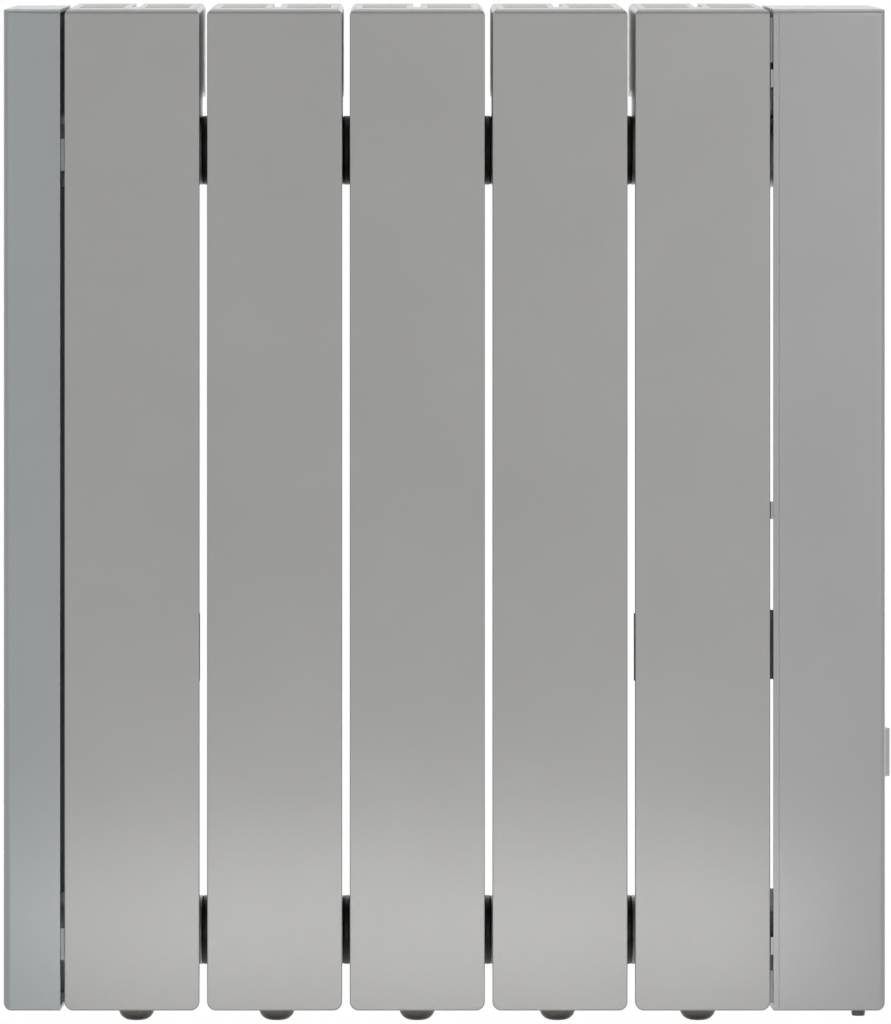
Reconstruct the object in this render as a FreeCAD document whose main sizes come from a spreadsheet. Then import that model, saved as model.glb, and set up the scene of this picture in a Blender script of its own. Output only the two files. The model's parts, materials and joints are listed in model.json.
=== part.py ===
import FreeCAD, Part
import os
import re
import Sketcher

# Fluid-filled electric wall radiator: cast aluminium sections joined through two headers, an end
# cover on the left, an electrical housing on the right and hook brackets on the wall.
# X runs to the right, Y towards the wall, Z up. The origin is the middle of the wall screw pattern.
# Heights in the sheet are measured from the lower edge of the front plates.

SIZES = {
    # section casting
    "plate_width": 75.7,
    "section_gap": 4.3,
    "plate_thickness": 3.0,
    "section_depth": 80.0,
    "wall_gap": 18.0,
    "front_height": 561.3,
    "roof_rise": 12.7,
    "corner_radius": 5.0,
    "crown_radius": 3.5,
    "face_radius": 0.8,
    "brow_radius": 4.0,
    "hood_wall": 2.5,
    "roof_thickness": 2.5,
    "wing_depth": 40.0,
    "hood_height": 59.3,
    "vent_width": 25.0,
    "vent_length": 6.5,
    "vent_spacing": 17.0,
    "vent_start": 20.0,
    "vent_rib": 12.0,
    "notch_width": 4.5,
    "notch_length": 48.0,
    "notch_depth": 4.5,
    "fin_thickness": 2.0,
    "fin_bottom": 14.0,
    "fin_top_drop": 51.3,
    "front_fin_width": 64.0,
    "rear_fin_width": 62.0,
    "front_fin_setback": 13.0,
    "middle_fin_setback": 22.0,
    "back_fin_inset": 18.5,
    "last_fin_inset": 11.0,
    "web_thickness": 3.0,
    "channel_setback": 43.0,
    "channel_width": 26.0,
    "channel_depth": 32.0,
    "channel_wall": 2.5,
    "lower_header": 41.4,
    "upper_header_drop": 75.4,
    "hub_diameter": 39.2,
    "hub_bore": 30.0,
    "lug_width": 69.0,
    "lug_height": 39.0,
    "lug_rib_offset": 24.0,
    "lug_rib_width": 3.0,
    # header joints
    "gasket_inset": 0.2,
    "gasket_chamfer": 0.9,
    "thread_fit": 0.05,
    "nipple_wall": 3.0,
    "nipple_length": 34.0,
    # plugs under the channels
    "boss_diameter": 26.0,
    "plug_seat": 3.0,
    "plug_bore": 16.0,
    "plug_shank": 12.0,
    "plug_diameter": 20.5,
    "plug_drop": 10.0,
    "plug_round": 7.0,
    # header end plugs
    "seal_thickness": 2.0,
    "seal_diameter": 42.0,
    "end_shank": 16.0,
    "end_flange": 3.0,
    "end_flange_diameter": 42.0,
    "end_hex_width": 27.7,
    "end_hex_length": 8.0,
    "end_hole_depth": 9.0,
    # both covers
    "cover_drop": 1.1,
    "roof_edge_radius": 1.2,
    "floor_edge_radius": 0.8,
    "foot_radius": 5.0,
    # left end cover
    "left_gap": 2.4,
    "left_cover_width": 32.0,
    "left_cover_wall": 2.0,
    "left_cover_radius": 4.5,
    "left_post_diameter": 12.0,
    "left_tab_height": 18.0,
    "left_upper_tab_drop": 14.9,
    "left_lower_tab_drop": 13.4,
    "tab_reach": 6.0,
    "tab_root": 8.0,
    "tab_thickness": 2.0,
    "tab_clearance": 0.3,
    "cover_screw_diameter": 4.0,
    "cover_screw_head": 8.0,
    "cover_screw_head_height": 2.4,
    "cover_screw_grip": 8.0,
    "screw_clearance": 0.3,
    # right housing
    "right_gap": 1.8,
    "housing_width": 62.8,
    "housing_wall": 2.2,
    "housing_radius": 3.5,
    "seam_offset": 2.8,
    "seam_width": 0.6,
    "seam_depth": 0.3,
    "return_height": 28.6,
    "return_depth": 25.0,
    "foot_return_height": 18.0,
    "right_tab_height": 9.8,
    "right_upper_tab_drop": 43.6,
    "right_middle_tab": 275.6,
    "right_lower_tab": 31.3,
    "right_tab_setback": 0.5,
    "upper_lip_drop": 29.4,
    "foot_lip": 4.0,
    "foot_lip_height": 18.2,
    "chassis_offset": 8.6,
    "chassis_thickness": 1.5,
    "chassis_clearance": 0.4,
    "tongue_lift": 1.0,
    "tongue_height": 40.0,
    "tongue_inset": 7.0,
    "tongue_clearance": 0.4,
    "rear_screw_diameter": 3.5,
    "rear_screw_length": 14.0,
    "rear_screw_head": 7.0,
    "rear_screw_head_height": 2.2,
    "rear_boss_width": 10.0,
    "rear_boss_depth": 14.0,
    "rear_boss_first": 62.0,
    "rear_boss_top": 69.3,
    # header fittings inside the housing
    "collar_diameter": 43.0,
    "spigot_diameter": 16.0,
    "spigot_length": 12.0,
    "nut_width": 27.7,
    "nut_height": 6.0,
    "nut_clearance": 0.1,
    "heater_hex": 47.0,
    "heater_spigot": 24.0,
    "heater_nut": 37.0,
    "rod_diameter": 8.0,
    "rod_offset": 5.5,
    "rod_end_gap": 8.0,
    "pin_diameter": 4.0,
    "pin_length": 11.0,
    "pin_offset": 6.5,
    "cutout_diameter": 18.0,
    "cutout_height": 8.0,
    # control parts
    "board_thickness": 1.6,
    "board_width": 56.0,
    "board_height": 130.0,
    "board_bottom": 262.0,
    "board_setback": 10.0,
    "standoff_height": 6.0,
    "standoff_diameter": 6.0,
    "standoff_inset": 5.0,
    "relay_length": 29.0,
    "relay_width": 13.0,
    "relay_height": 16.0,
    "relay_inset": 18.0,
    "sink_length": 46.0,
    "sink_width": 24.0,
    "sink_height": 18.0,
    "sink_base": 3.0,
    "sink_fin": 1.6,
    "terminal_height": 44.0,
    "terminal_width": 18.0,
    "terminal_depth": 16.0,
    "terminal_bottom": 78.0,
    "terminal_setback": 44.0,
    "terminal_pitch": 13.0,
    "terminal_bore": 5.0,
    "sensor_diameter": 5.0,
    "sensor_length": 14.0,
    "sensor_offset": 32.0,
    "sensor_setback": 60.0,
    # leads inside the housing
    "lead_diameter": 2.4,
    "lead_bend": 5.0,
    "lead_stub": 2.0,
    "lead_spacing": 3.5,
    "lead_inset": 6.0,
    "lead_plug_in": 4.0,
    "cutout_lead_offset": 4.0,
    # cord gland
    "gland_inset": 10.6,
    "gland_setback": 45.0,
    "gland_bore": 6.4,
    "gland_nozzle": 9.1,
    "gland_tip": 7.6,
    "gland_drop": 7.8,
    "gland_flange": 15.0,
    "gland_flange_height": 2.5,
    "gland_thread": 12.0,
    "gland_thread_length": 9.0,
    "gland_nut": 16.0,
    "gland_nut_height": 4.0,
    # rocker switch
    "switch_height": 144.2,
    "switch_setback": 22.0,
    "flange_lip": 0.6,
    "flange_thickness": 1.5,
    "rim_wall": 2.2,
    "rim_rise": 2.35,
    "switch_pocket_height": 22.6,
    "switch_pocket_width": 11.2,
    "switch_pocket_depth": 16.0,
    "switch_wall": 1.4,
    "switch_floor": 2.0,
    "switch_clearance": 0.2,
    "pivot_depth": 3.35,
    "trunnion_diameter": 3.0,
    "trunnion_fit": 0.06,
    "trunnion_reach": 1.0,
    "rocker_end_gap": 1.0,
    "rocker_right_gap": 0.4,
    "rocker_crest": 5.2,
    "rocker_middle": 4.0,
    "rocker_skirt": 3.0,
    "rocker_keel": 6.0,
    "rocker_tilt": 7.0,
    "blade_thickness": 0.8,
    "blade_width": 4.8,
    "blade_length": 8.0,
    "blade_pitch": 8.0,
    # wall brackets
    "upper_seat_drop": 41.3,
    "lower_seat": 182.0,
    "bracket_width": 30.0,
    "bracket_thickness": 2.0,
    "bracket_top": 6.0,
    "bracket_drop": 46.0,
    "bracket_radius": 4.0,
    "screw_drop": 28.0,
    "wall_screw_hole": 6.5,
    "tongue_rise": 12.0,
    "liner_thickness": 1.0,
    "hang_clearance": 0.2,
    "hook_clearance": 0.3,
}

doc = FreeCAD.newDocument("FluidRadiator")
sheet = doc.addObject("Spreadsheet::Sheet", "Sizes")
for row, (alias, value) in enumerate(SIZES.items(), start=1):
    sheet.set("A%d" % row, alias)
    sheet.set("B%d" % row, str(value))
    sheet.setAlias("B%d" % row, alias)
doc.recompute()

# Places that many pieces share, worked out from the sheet.
FRONT = "(-section_depth - wall_gap)"
REAR = "(-wall_gap)"
CHANNEL = "(channel_setback - section_depth - wall_gap)"
SLOPE = "((rear_height - front_height) / section_depth)"
COVER_SLOPE = "((cover_top - front_height) / section_depth)"
BASE = "(screw_drop - (upper_seat + lower_seat) / 2)"
BANK_END = "(2 * pitch + plate_width / 2)"
COVER_EDGE = "(-2 * pitch - plate_width / 2 - left_gap)"
HOUSING_EDGE = "(2 * pitch + plate_width / 2 + right_gap)"
HOUSING_SIDE = "(2 * pitch + plate_width / 2 + right_gap + housing_width)"
CHASSIS = "(2 * pitch + plate_width / 2 + right_gap + chassis_offset)"
COLLAR_LENGTH = "(right_gap + chassis_offset - seal_thickness)"
ROD_LENGTH = "(4 * pitch + plate_width - 2 * end_shank - rod_offset - rod_diameter / 2 - rod_end_gap)"

# Sizes and heights that follow from the sheet, by the name that formulas use for them.
FOLLOWING = {
    "pitch": "(plate_width + section_gap)",
    "rear_height": "(front_height + roof_rise)",
    "cover_top": "(front_height + roof_rise - cover_drop)",
    "wing_bottom": "(front_height - hood_height)",
    "fin_top": "(front_height - fin_top_drop)",
    "upper_header": "(front_height - upper_header_drop)",
    "upper_seat": "(front_height - upper_seat_drop)",
    "left_upper_tab": "(front_height - upper_header_drop - left_upper_tab_drop)",
    "left_lower_tab": "(lower_header - left_lower_tab_drop)",
    "right_upper_tab": "(front_height - right_upper_tab_drop)",
    "upper_lip": "(front_height - upper_lip_drop)",
    "upper_lip_height": "(upper_lip_drop - brow_radius - tab_clearance)",
    "rear_boss_spacing": "((front_height - rear_boss_first - rear_boss_top) / 2)",
    "rim_height": "(switch_pocket_height + 2 * rim_wall)",
    "rim_width": "(switch_pocket_width + 2 * rim_wall)",
    "rocker_height": "(switch_pocket_height - 2 * rocker_end_gap)",
    "rocker_width": "(switch_pocket_width - 2 * rocker_right_gap)",
}
FOLLOWER = re.compile(r"\b(%s)\b" % "|".join(FOLLOWING))
ALIAS = re.compile(r"\b(%s)\b" % "|".join(SIZES))
ALONG = {
    "+X": FreeCAD.Rotation(FreeCAD.Vector(0, 1, 0), 90),
    "-X": FreeCAD.Rotation(FreeCAD.Vector(0, 1, 0), -90),
    "+Y": FreeCAD.Rotation(FreeCAD.Vector(1, 0, 0), -90),
    "-Y": FreeCAD.Rotation(FreeCAD.Vector(1, 0, 0), 90),
    "+Z": FreeCAD.Rotation(),
    "-Z": FreeCAD.Rotation(FreeCAD.Vector(1, 0, 0), 180),
}
NODES = []


def sized(text):
    """Writes a formula as an expression over the sheet's aliases."""
    plain = FOLLOWER.sub(lambda word: FOLLOWING[word.group()], text)
    return ALIAS.sub(r"Sizes.\1", plain)


def bind(item, **formulas):
    for name, text in formulas.items():
        item.setExpression(name, sized(text))


def place(item, x, y, z, along="+Z"):
    """Puts an object at x, y and a height above the plates' lower edge."""
    item.Placement = FreeCAD.Placement(FreeCAD.Vector(), ALONG[along])
    item.setExpression("Placement.Base.x", sized(x))
    item.setExpression("Placement.Base.y", sized(y))
    item.setExpression("Placement.Base.z", sized("%s + %s" % (BASE, z)))


def box(name, x, y, z, length, width, height):
    item = doc.addObject("Part::Box", name)
    bind(item, Length=length, Width=width, Height=height)
    place(item, x, y, z)
    return item


def rod(name, x, y, z, along, diameter, length):
    item = doc.addObject("Part::Cylinder", name)
    bind(item, Radius="(%s) / 2" % diameter, Height=length)
    place(item, x, y, z, along)
    return item


def hexagon(name, x, y, z, along, corners, length):
    item = doc.addObject("Part::Prism", name)
    item.Polygon = 6
    bind(item, Circumradius="(%s) / 2" % corners, Height=length)
    place(item, x, y, z, along)
    return item


def fuse(name, *items):
    result = doc.addObject("Part::MultiFuse", name)
    result.Shapes = list(items)
    result.Refine = True
    return result


def cut(name, base, *tools):
    result = doc.addObject("Part::Cut", name)
    result.Base = base
    result.Tool = tools[0] if len(tools) == 1 else fuse(name + "_tools", *tools)
    return result


def group(name, *items):
    result = doc.addObject("Part::Compound", name)
    result.Links = list(items)
    return result


def outline(body, role, points):
    """Draws a closed outline on one of the body's planes, each corner held by two distances."""
    plane = [item for item in body.Origin.OriginFeatures if item.Role == role][0]
    sketch = body.newObject("Sketcher::SketchObject", body.Name + "_outline")
    sketch.AttachmentSupport = [(plane, "")]
    sketch.MapMode = "FlatFace"
    turn = FreeCAD.Rotation(FreeCAD.Vector(0, 0, 1), 360.0 / len(points))
    corner = FreeCAD.Vector(10, 0, 0)
    for number in range(len(points)):
        following = turn.multVec(corner)
        sketch.addGeometry(Part.LineSegment(corner, following), False)
        corner = following
    for number in range(len(points)):
        sketch.addConstraint(Sketcher.Constraint("Coincident", number, 2, (number + 1) % len(points), 1))
    for number, (across, up) in enumerate(points):
        for kind, text in (("DistanceX", across), ("DistanceY", up)):
            held = sketch.addConstraint(Sketcher.Constraint(kind, -1, 1, number, 1, 1.0))
            sketch.setExpression("Constraints[%d]" % held, sized(text))
    return sketch


def padded(name, role, points, length, both_ways=False):
    """A body padded from an outline."""
    body = doc.addObject("PartDesign::Body", name)
    pad = body.newObject("PartDesign::Pad", name + "_pad")
    pad.Profile = outline(body, role, points)
    pad.Midplane = both_ways
    bind(pad, Length=length)
    return body


def turned(name, points):
    """A body turned about its Z axis from an outline of radius and height."""
    body = doc.addObject("PartDesign::Body", name)
    sketch = outline(body, "XZ_Plane", points)
    turn = body.newObject("PartDesign::Revolution", name + "_turn")
    turn.Profile = sketch
    turn.ReferenceAxis = (sketch, ["V_Axis"])
    turn.Angle = 360.0
    return body


def rounded(body, radius, wanted):
    """Rounds the edges of the body's tip that the test picks out."""
    doc.recompute()
    base = body.Tip
    size = FreeCAD.BoundBox()
    for corner in base.Shape.Vertexes:
        size.add(corner.Point)
    names = ["Edge%d" % (number + 1) for number, edge in enumerate(base.Shape.Edges) if wanted(edge, size)]
    fillet = body.newObject("PartDesign::Fillet", body.Name + "_round")
    fillet.Base = (base, names)
    bind(fillet, Radius=radius)
    body.Tip = fillet


def close(first, second):
    return abs(first - second) < 0.001


def node(item, name):
    item.Label = name
    NODES.append(item)
    return item


def brow(name, left, width, slope):
    """What is cut away to round the front edge of a sloping roof."""
    reach = "sqrt(1 + %s ^ 2)" % slope
    level = "front_height - brow_radius * (%s - %s)" % (reach, slope)
    depth = "2 * brow_radius - brow_radius * %s / %s" % (slope, reach)
    corner = box(name + "_corner", left, FRONT + " - brow_radius", level, width, depth, "2 * brow_radius")
    curve = rod(name + "_curve", left, FRONT + " + brow_radius", level, "+X", "2 * brow_radius", width)
    return cut(name, corner, curve)


# Section casting: a flat front plate that rises into a vented hood, a vertical oval channel between
# two header hubs, thin fins along the channel and a hanging lug at the back.
shell = padded(
    "section_shell",
    "YZ_Plane",
    [
        (FRONT, "0"),
        (FRONT, "front_height"),
        (REAR, "rear_height"),
        (REAR, "upper_seat"),
        (FRONT + " + wing_depth", "upper_seat"),
        (FRONT + " + wing_depth", "wing_bottom"),
        (FRONT + " + plate_thickness", "wing_bottom"),
        (FRONT + " + plate_thickness", "0"),
    ],
    "plate_width",
    True,
)
place(shell, "0", "0", "0")
rounded(
    shell,
    "corner_radius",
    lambda edge, size: close(edge.BoundBox.ZMax, size.ZMin) and edge.BoundBox.XLength < 0.001,
)
rounded(
    shell,
    "crown_radius",
    lambda edge, size: edge.BoundBox.XLength < 0.001 and close(edge.BoundBox.ZMax, size.ZMax),
)
rounded(shell, "face_radius", lambda edge, size: close(edge.BoundBox.YMax, size.YMin))

cavity = padded(
    "hood_cavity",
    "YZ_Plane",
    [
        (FRONT + " + plate_thickness", "wing_bottom - plate_thickness"),
        (FRONT + " + plate_thickness", "front_height - roof_thickness + plate_thickness * " + SLOPE),
        (REAR + " - hood_wall", "rear_height - roof_thickness - hood_wall * " + SLOPE),
        (REAR + " - hood_wall", "wing_bottom - plate_thickness"),
    ],
    "plate_width - 2 * hood_wall",
    True,
)
place(cavity, "0", "0", "0")
openings = [cavity, brow("section_brow", "-plate_width", "2 * plate_width", SLOPE)]
for row in range(3):
    for side, left in (("left", "-vent_rib / 2 - vent_width"), ("right", "vent_rib / 2")):
        openings.append(
            box(
                "vent_%s_%d" % (side, row + 1),
                left,
                "%s + vent_start + %d * vent_spacing" % (FRONT, row),
                "front_height - plate_thickness",
                "vent_width",
                "vent_length",
                "rear_height - front_height + 2 * plate_thickness",
            )
        )
openings.append(
    box(
        "crest_notch",
        "-notch_width / 2",
        REAR + " - notch_length",
        "rear_height - notch_depth - notch_length * " + SLOPE,
        "notch_width",
        "2 * notch_length",
        "notch_length",
    )
)
hood = cut("section_hood", shell, *openings)


def stadium(name, width, depth, bottom, height):
    """An upright oval column on the channel's axis."""
    reach = "((%s) - (%s)) / 2" % (depth, width)
    front = CHANNEL + " - " + reach
    return [
        rod(name + "_front", "0", front, bottom, "+Z", width, height),
        rod(name + "_back", "0", CHANNEL + " + " + reach, bottom, "+Z", width, height),
        box(name + "_middle", "-(%s) / 2" % width, front, bottom, width, "2 * " + reach, height),
    ]


def across(name, level, diameter):
    """A rod along one header, over the full width of a section."""
    return rod(name, "-plate_width / 2", CHANNEL, level + "_header", "+X", diameter, "plate_width")


core = stadium("channel", "channel_width", "channel_depth", "lower_header", "upper_header - lower_header")
core.append(rod("plug_boss", "0", CHANNEL, "plug_seat", "+Z", "boss_diameter", "lower_header - plug_seat"))
for level in ("lower", "upper"):
    core.append(across(level + "_hub", level, "hub_diameter"))
core.append(
    box(
        "web",
        "-web_thickness / 2",
        FRONT + " + plate_thickness",
        "fin_bottom",
        "web_thickness",
        "section_depth - last_fin_inset + fin_thickness - plate_thickness",
        "fin_top - fin_bottom",
    )
)
for name, width, face in (
    ("front_fin", "front_fin_width", FRONT + " + front_fin_setback"),
    ("middle_fin", "front_fin_width", FRONT + " + middle_fin_setback"),
    ("back_fin", "rear_fin_width", REAR + " - back_fin_inset"),
    ("last_fin", "rear_fin_width", REAR + " - last_fin_inset"),
):
    core.append(
        box(
            name,
            "-%s / 2" % width,
            face,
            "fin_bottom",
            width,
            "fin_thickness",
            "fin_top - fin_bottom",
        )
    )
core.append(
    box(
        "lug_wall",
        "-lug_width / 2",
        REAR + " - hood_wall",
        "lower_seat",
        "lug_width",
        "hood_wall",
        "lug_height",
    )
)
for side, left in (("left", "-lug_rib_offset - lug_rib_width"), ("right", "lug_rib_offset")):
    core.append(
        box(
            "lug_rib_" + side,
            left,
            REAR + " - last_fin_inset",
            "lower_seat",
            "lug_rib_width",
            "last_fin_inset",
            "lug_height",
        )
    )

hollows = stadium(
    "passage",
    "channel_width - 2 * channel_wall",
    "channel_depth - 2 * channel_wall",
    "lower_header",
    "upper_header - lower_header",
)
hollows.append(rod("plug_hole", "0", CHANNEL, "plug_seat", "+Z", "plug_bore", "lower_header - plug_seat"))
for level in ("lower", "upper"):
    hollows.append(across(level + "_bore", level, "hub_bore"))

casting = cut("section_casting", fuse("section_solid", hood, *core), *hollows)
for number in range(5):
    section = doc.addObject("PartDesign::Body", "section_%d" % (number + 1))
    copy = section.newObject("PartDesign::FeatureBase", "section_copy_%d" % (number + 1))
    copy.BaseFeature = casting
    section.setExpression("Placement.Base.x", sized("%d * pitch" % (number - 2)))
    node(section, "section_%d" % (number + 1))

# Header joints: a black rubber ring fills the space between two hubs, and a steel nipple inside
# them pulls the sections together.
for level in ("upper", "lower"):
    nipples = []
    for joint in range(4):
        middle = "%s * pitch" % (joint - 1.5)
        ring = turned(
            "%s_gasket_%d" % (level, joint + 1),
            [
                ("hub_bore / 2 + gasket_inset", "0"),
                ("hub_diameter / 2 - gasket_chamfer", "0"),
                ("hub_diameter / 2", "gasket_chamfer"),
                ("hub_diameter / 2", "pitch - plate_width - gasket_chamfer"),
                ("hub_diameter / 2 - gasket_chamfer", "pitch - plate_width"),
                ("hub_bore / 2 + gasket_inset", "pitch - plate_width"),
            ],
        )
        place(ring, "%s - (pitch - plate_width) / 2" % middle, CHANNEL, level + "_header", "+X")
        node(ring, "%s_gasket_%d" % (level, joint + 1))
        nipple = turned(
            "%s_nipple_%d" % (level, joint + 1),
            [
                ("hub_bore / 2 - thread_fit - nipple_wall", "-nipple_length / 2"),
                ("hub_bore / 2 - thread_fit", "-nipple_length / 2"),
                ("hub_bore / 2 - thread_fit", "nipple_length / 2"),
                ("hub_bore / 2 - thread_fit - nipple_wall", "nipple_length / 2"),
            ],
        )
        place(nipple, middle, CHANNEL, level + "_header", "+X")
        nipples.append(nipple)
    node(group(level + "_nipples", *nipples), level + "_nipples")

# Channel plugs: round-ended plugs that close the lower end of each channel.
for number in range(5):
    plug = turned(
        "channel_plug_%d" % (number + 1),
        [
            ("0", "-plug_drop"),
            ("plug_diameter / 2", "-plug_drop"),
            ("plug_diameter / 2", "plug_seat"),
            ("plug_bore / 2 - thread_fit", "plug_seat"),
            ("plug_bore / 2 - thread_fit", "plug_seat + plug_shank"),
            ("0", "plug_seat + plug_shank"),
        ],
    )
    rounded(
        plug,
        "plug_round",
        lambda edge, size: close(edge.BoundBox.ZMax, size.ZMin) and edge.BoundBox.XLength > 1,
    )
    place(plug, "%d * pitch" % (number - 2), CHANNEL, "0")
    node(plug, "channel_plug_%d" % (number + 1))


def seal(name, x, level, along):
    """A flat sealing ring on the end face of a header."""
    ring = turned(
        name,
        [
            ("hub_bore / 2 + gasket_inset", "0"),
            ("seal_diameter / 2", "0"),
            ("seal_diameter / 2", "seal_thickness"),
            ("hub_bore / 2 + gasket_inset", "seal_thickness"),
        ],
    )
    place(ring, x, CHANNEL, level, along)
    node(ring, name)


# Left end plugs: each closes a header with a threaded shank, a flange on a sealing ring and a
# hexagon, which has a tapped hole for the end cover.
for level in ("upper", "lower"):
    height = level + "_header"
    seal("left_%s_seal" % level, "-" + BANK_END, height, "-X")
    plug = cut(
        "left_%s_plug" % level,
        fuse(
            "left_%s_plug_solid" % level,
            rod(
                "left_%s_shank" % level,
                "end_shank - " + BANK_END,
                CHANNEL,
                height,
                "-X",
                "hub_bore - 2 * thread_fit",
                "end_shank + seal_thickness",
            ),
            rod(
                "left_%s_flange" % level,
                "-seal_thickness - " + BANK_END,
                CHANNEL,
                height,
                "-X",
                "end_flange_diameter",
                "end_flange",
            ),
            hexagon(
                "left_%s_hexagon" % level,
                "-seal_thickness - end_flange - " + BANK_END,
                CHANNEL,
                height,
                "-X",
                "end_hex_width",
                "end_hex_length",
            ),
        ),
        rod(
            "left_%s_tapping" % level,
            "end_hole_depth - seal_thickness - end_flange - end_hex_length - " + BANK_END,
            CHANNEL,
            height,
            "-X",
            "cover_screw_diameter + 2 * thread_fit",
            "end_hole_depth",
        ),
    )
    node(plug, "left_%s_plug" % level)


def cover_profile(lower, inset, front_inset, rear_inset):
    """Side outline of an end cover, whose roof slopes a little less than the sections'."""
    front = "%s + %s" % (FRONT, front_inset)
    rear = "%s - %s" % (REAR, rear_inset)
    return [
        (front, lower),
        (front, "front_height - %s + %s * %s" % (inset, front_inset, COVER_SLOPE)),
        (rear, "cover_top - %s - %s * %s" % (inset, rear_inset, COVER_SLOPE)),
        (rear, lower),
    ]


def tab(name, edge, inward, wall, bottom, height, reach="tab_reach"):
    """A tongue on a cover's front wall that reaches towards the next section."""
    root_left = edge if inward > 0 else edge + " - tab_root"
    tongue_left = "%s - (%s)" % (edge, reach) if inward > 0 else edge + " - tab_root"
    depth = "plate_thickness + tab_clearance"
    root_depth = "%s + tab_thickness - %s" % (depth, wall)
    length = "tab_root + " + reach
    return [
        box(name + "_root", root_left, FRONT + " + " + wall, bottom, "tab_root", root_depth, height),
        box(name + "_tongue", tongue_left, FRONT + " + " + depth, bottom, length, "tab_thickness", height),
    ]


def left_closed(edge, size):
    """Not on the left cover's open side or at its back."""
    return not close(edge.BoundBox.YMin, size.YMax) and not close(edge.BoundBox.XMin, size.XMax)


def right_closed(edge, size):
    """Not on the housing's open side or at its back."""
    return not close(edge.BoundBox.YMin, size.YMax) and not close(edge.BoundBox.XMax, size.XMin)


def upright(edge, size):
    return edge.BoundBox.ZLength > size.ZLength / 2


def round_cover(body, radius, closed):
    """Rounds a cover's upright corner and breaks the edges of its roof and floor."""
    rounded(body, radius, lambda edge, size: closed(edge, size) and upright(edge, size))
    rounded(
        body,
        "roof_edge_radius",
        lambda edge, size: closed(edge, size) and edge.BoundBox.ZMin > size.Center.z,
    )
    rounded(
        body,
        "floor_edge_radius",
        lambda edge, size: closed(edge, size) and close(edge.BoundBox.ZMax, size.ZMin),
    )


def foot(name, left, middle):
    """What is cut away to round the lower corner of a cover's outer side."""
    front = FRONT + " - foot_radius"
    across = "2 * foot_radius"
    depth = "section_depth + 2 * foot_radius"
    corner = box(name + "_corner", left, front, "-foot_radius", across, depth, across)
    return cut(name, corner, rod(name + "_curve", middle, front, "foot_radius", "+Y", across, depth))


# Left end cover: a thin moulding with rounded outer edges, two tongues behind the first front plate
# and two posts that screw to the end plugs.
left_solid = padded("left_cover_solid", "YZ_Plane", cover_profile("0", "0", "0", "0"), "left_cover_width")
round_cover(left_solid, "left_cover_radius", left_closed)
place(left_solid, COVER_EDGE + " - left_cover_width", "0", "0")
left_hollow = padded(
    "left_cover_hollow",
    "YZ_Plane",
    cover_profile("left_cover_wall", "left_cover_wall", "left_cover_wall", "left_cover_wall"),
    "left_cover_width",
)
rounded(
    left_hollow,
    "left_cover_radius - left_cover_wall",
    lambda edge, size: left_closed(edge, size) and edge.BoundBox.ZMin < size.Center.z,
)
place(left_hollow, COVER_EDGE + " - left_cover_width + left_cover_wall", "0", "0")
left_pieces = [cut("left_cover_skin", left_solid, left_hollow)]
LEFT_SIDE = COVER_EDGE + " - left_cover_width"
left_holes = [
    brow("left_brow", LEFT_SIDE + " - left_cover_width", "3 * left_cover_width", COVER_SLOPE),
    foot("left_foot", LEFT_SIDE + " - foot_radius", LEFT_SIDE + " + foot_radius"),
]
left_screws = []
POST_REACH = "left_cover_width + left_gap - seal_thickness - end_flange - end_hex_length"
for level in ("upper", "lower"):
    height = level + "_header"
    tab_name = "left_%s_tab" % level
    left_pieces.extend(tab(tab_name, COVER_EDGE, -1, "left_cover_wall / 2", tab_name, "left_tab_height"))
    left_pieces.append(
        rod(
            "left_%s_post" % level,
            COVER_EDGE + " - left_cover_width + left_cover_wall / 2",
            CHANNEL,
            height,
            "+X",
            "left_post_diameter",
            POST_REACH + " - left_cover_wall / 2",
        )
    )
    left_holes.append(
        rod(
            "left_%s_screw_hole" % level,
            COVER_EDGE + " - left_cover_width",
            CHANNEL,
            height,
            "+X",
            "cover_screw_diameter + 2 * screw_clearance",
            "left_cover_width",
        )
    )
    left_holes.append(
        rod(
            "left_%s_counterbore" % level,
            COVER_EDGE + " - left_cover_width",
            CHANNEL,
            height,
            "+X",
            "cover_screw_head + 2 * screw_clearance",
            "cover_screw_head_height",
        )
    )
    screw = turned(
        "left_%s_screw" % level,
        [
            ("0", "0"),
            ("cover_screw_head / 2", "0"),
            ("cover_screw_head / 2", "cover_screw_head_height"),
            ("cover_screw_diameter / 2", "cover_screw_head_height"),
            ("cover_screw_diameter / 2", POST_REACH + " + cover_screw_grip"),
            ("0", POST_REACH + " + cover_screw_grip"),
        ],
    )
    place(screw, COVER_EDGE + " - left_cover_width", CHANNEL, height, "+X")
    left_screws.append(screw)
node(cut("left_end_cover", fuse("left_cover_full", *left_pieces), *left_holes), "left_end_cover")
node(group("left_cover_screws", *left_screws), "left_cover_screws")


def frame_nut(name, level, corners, hole):
    """A nut that clamps the housing's frame on a header fitting."""
    face = CHASSIS + " + chassis_thickness"
    solid = hexagon(name + "_solid", face, CHANNEL, level, "+X", corners, "nut_height")
    bore = rod(name + "_hole", face, CHANNEL, level, "+X", hole + " + 2 * nut_clearance", "nut_height")
    node(cut(name, solid, bore), name)


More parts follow.
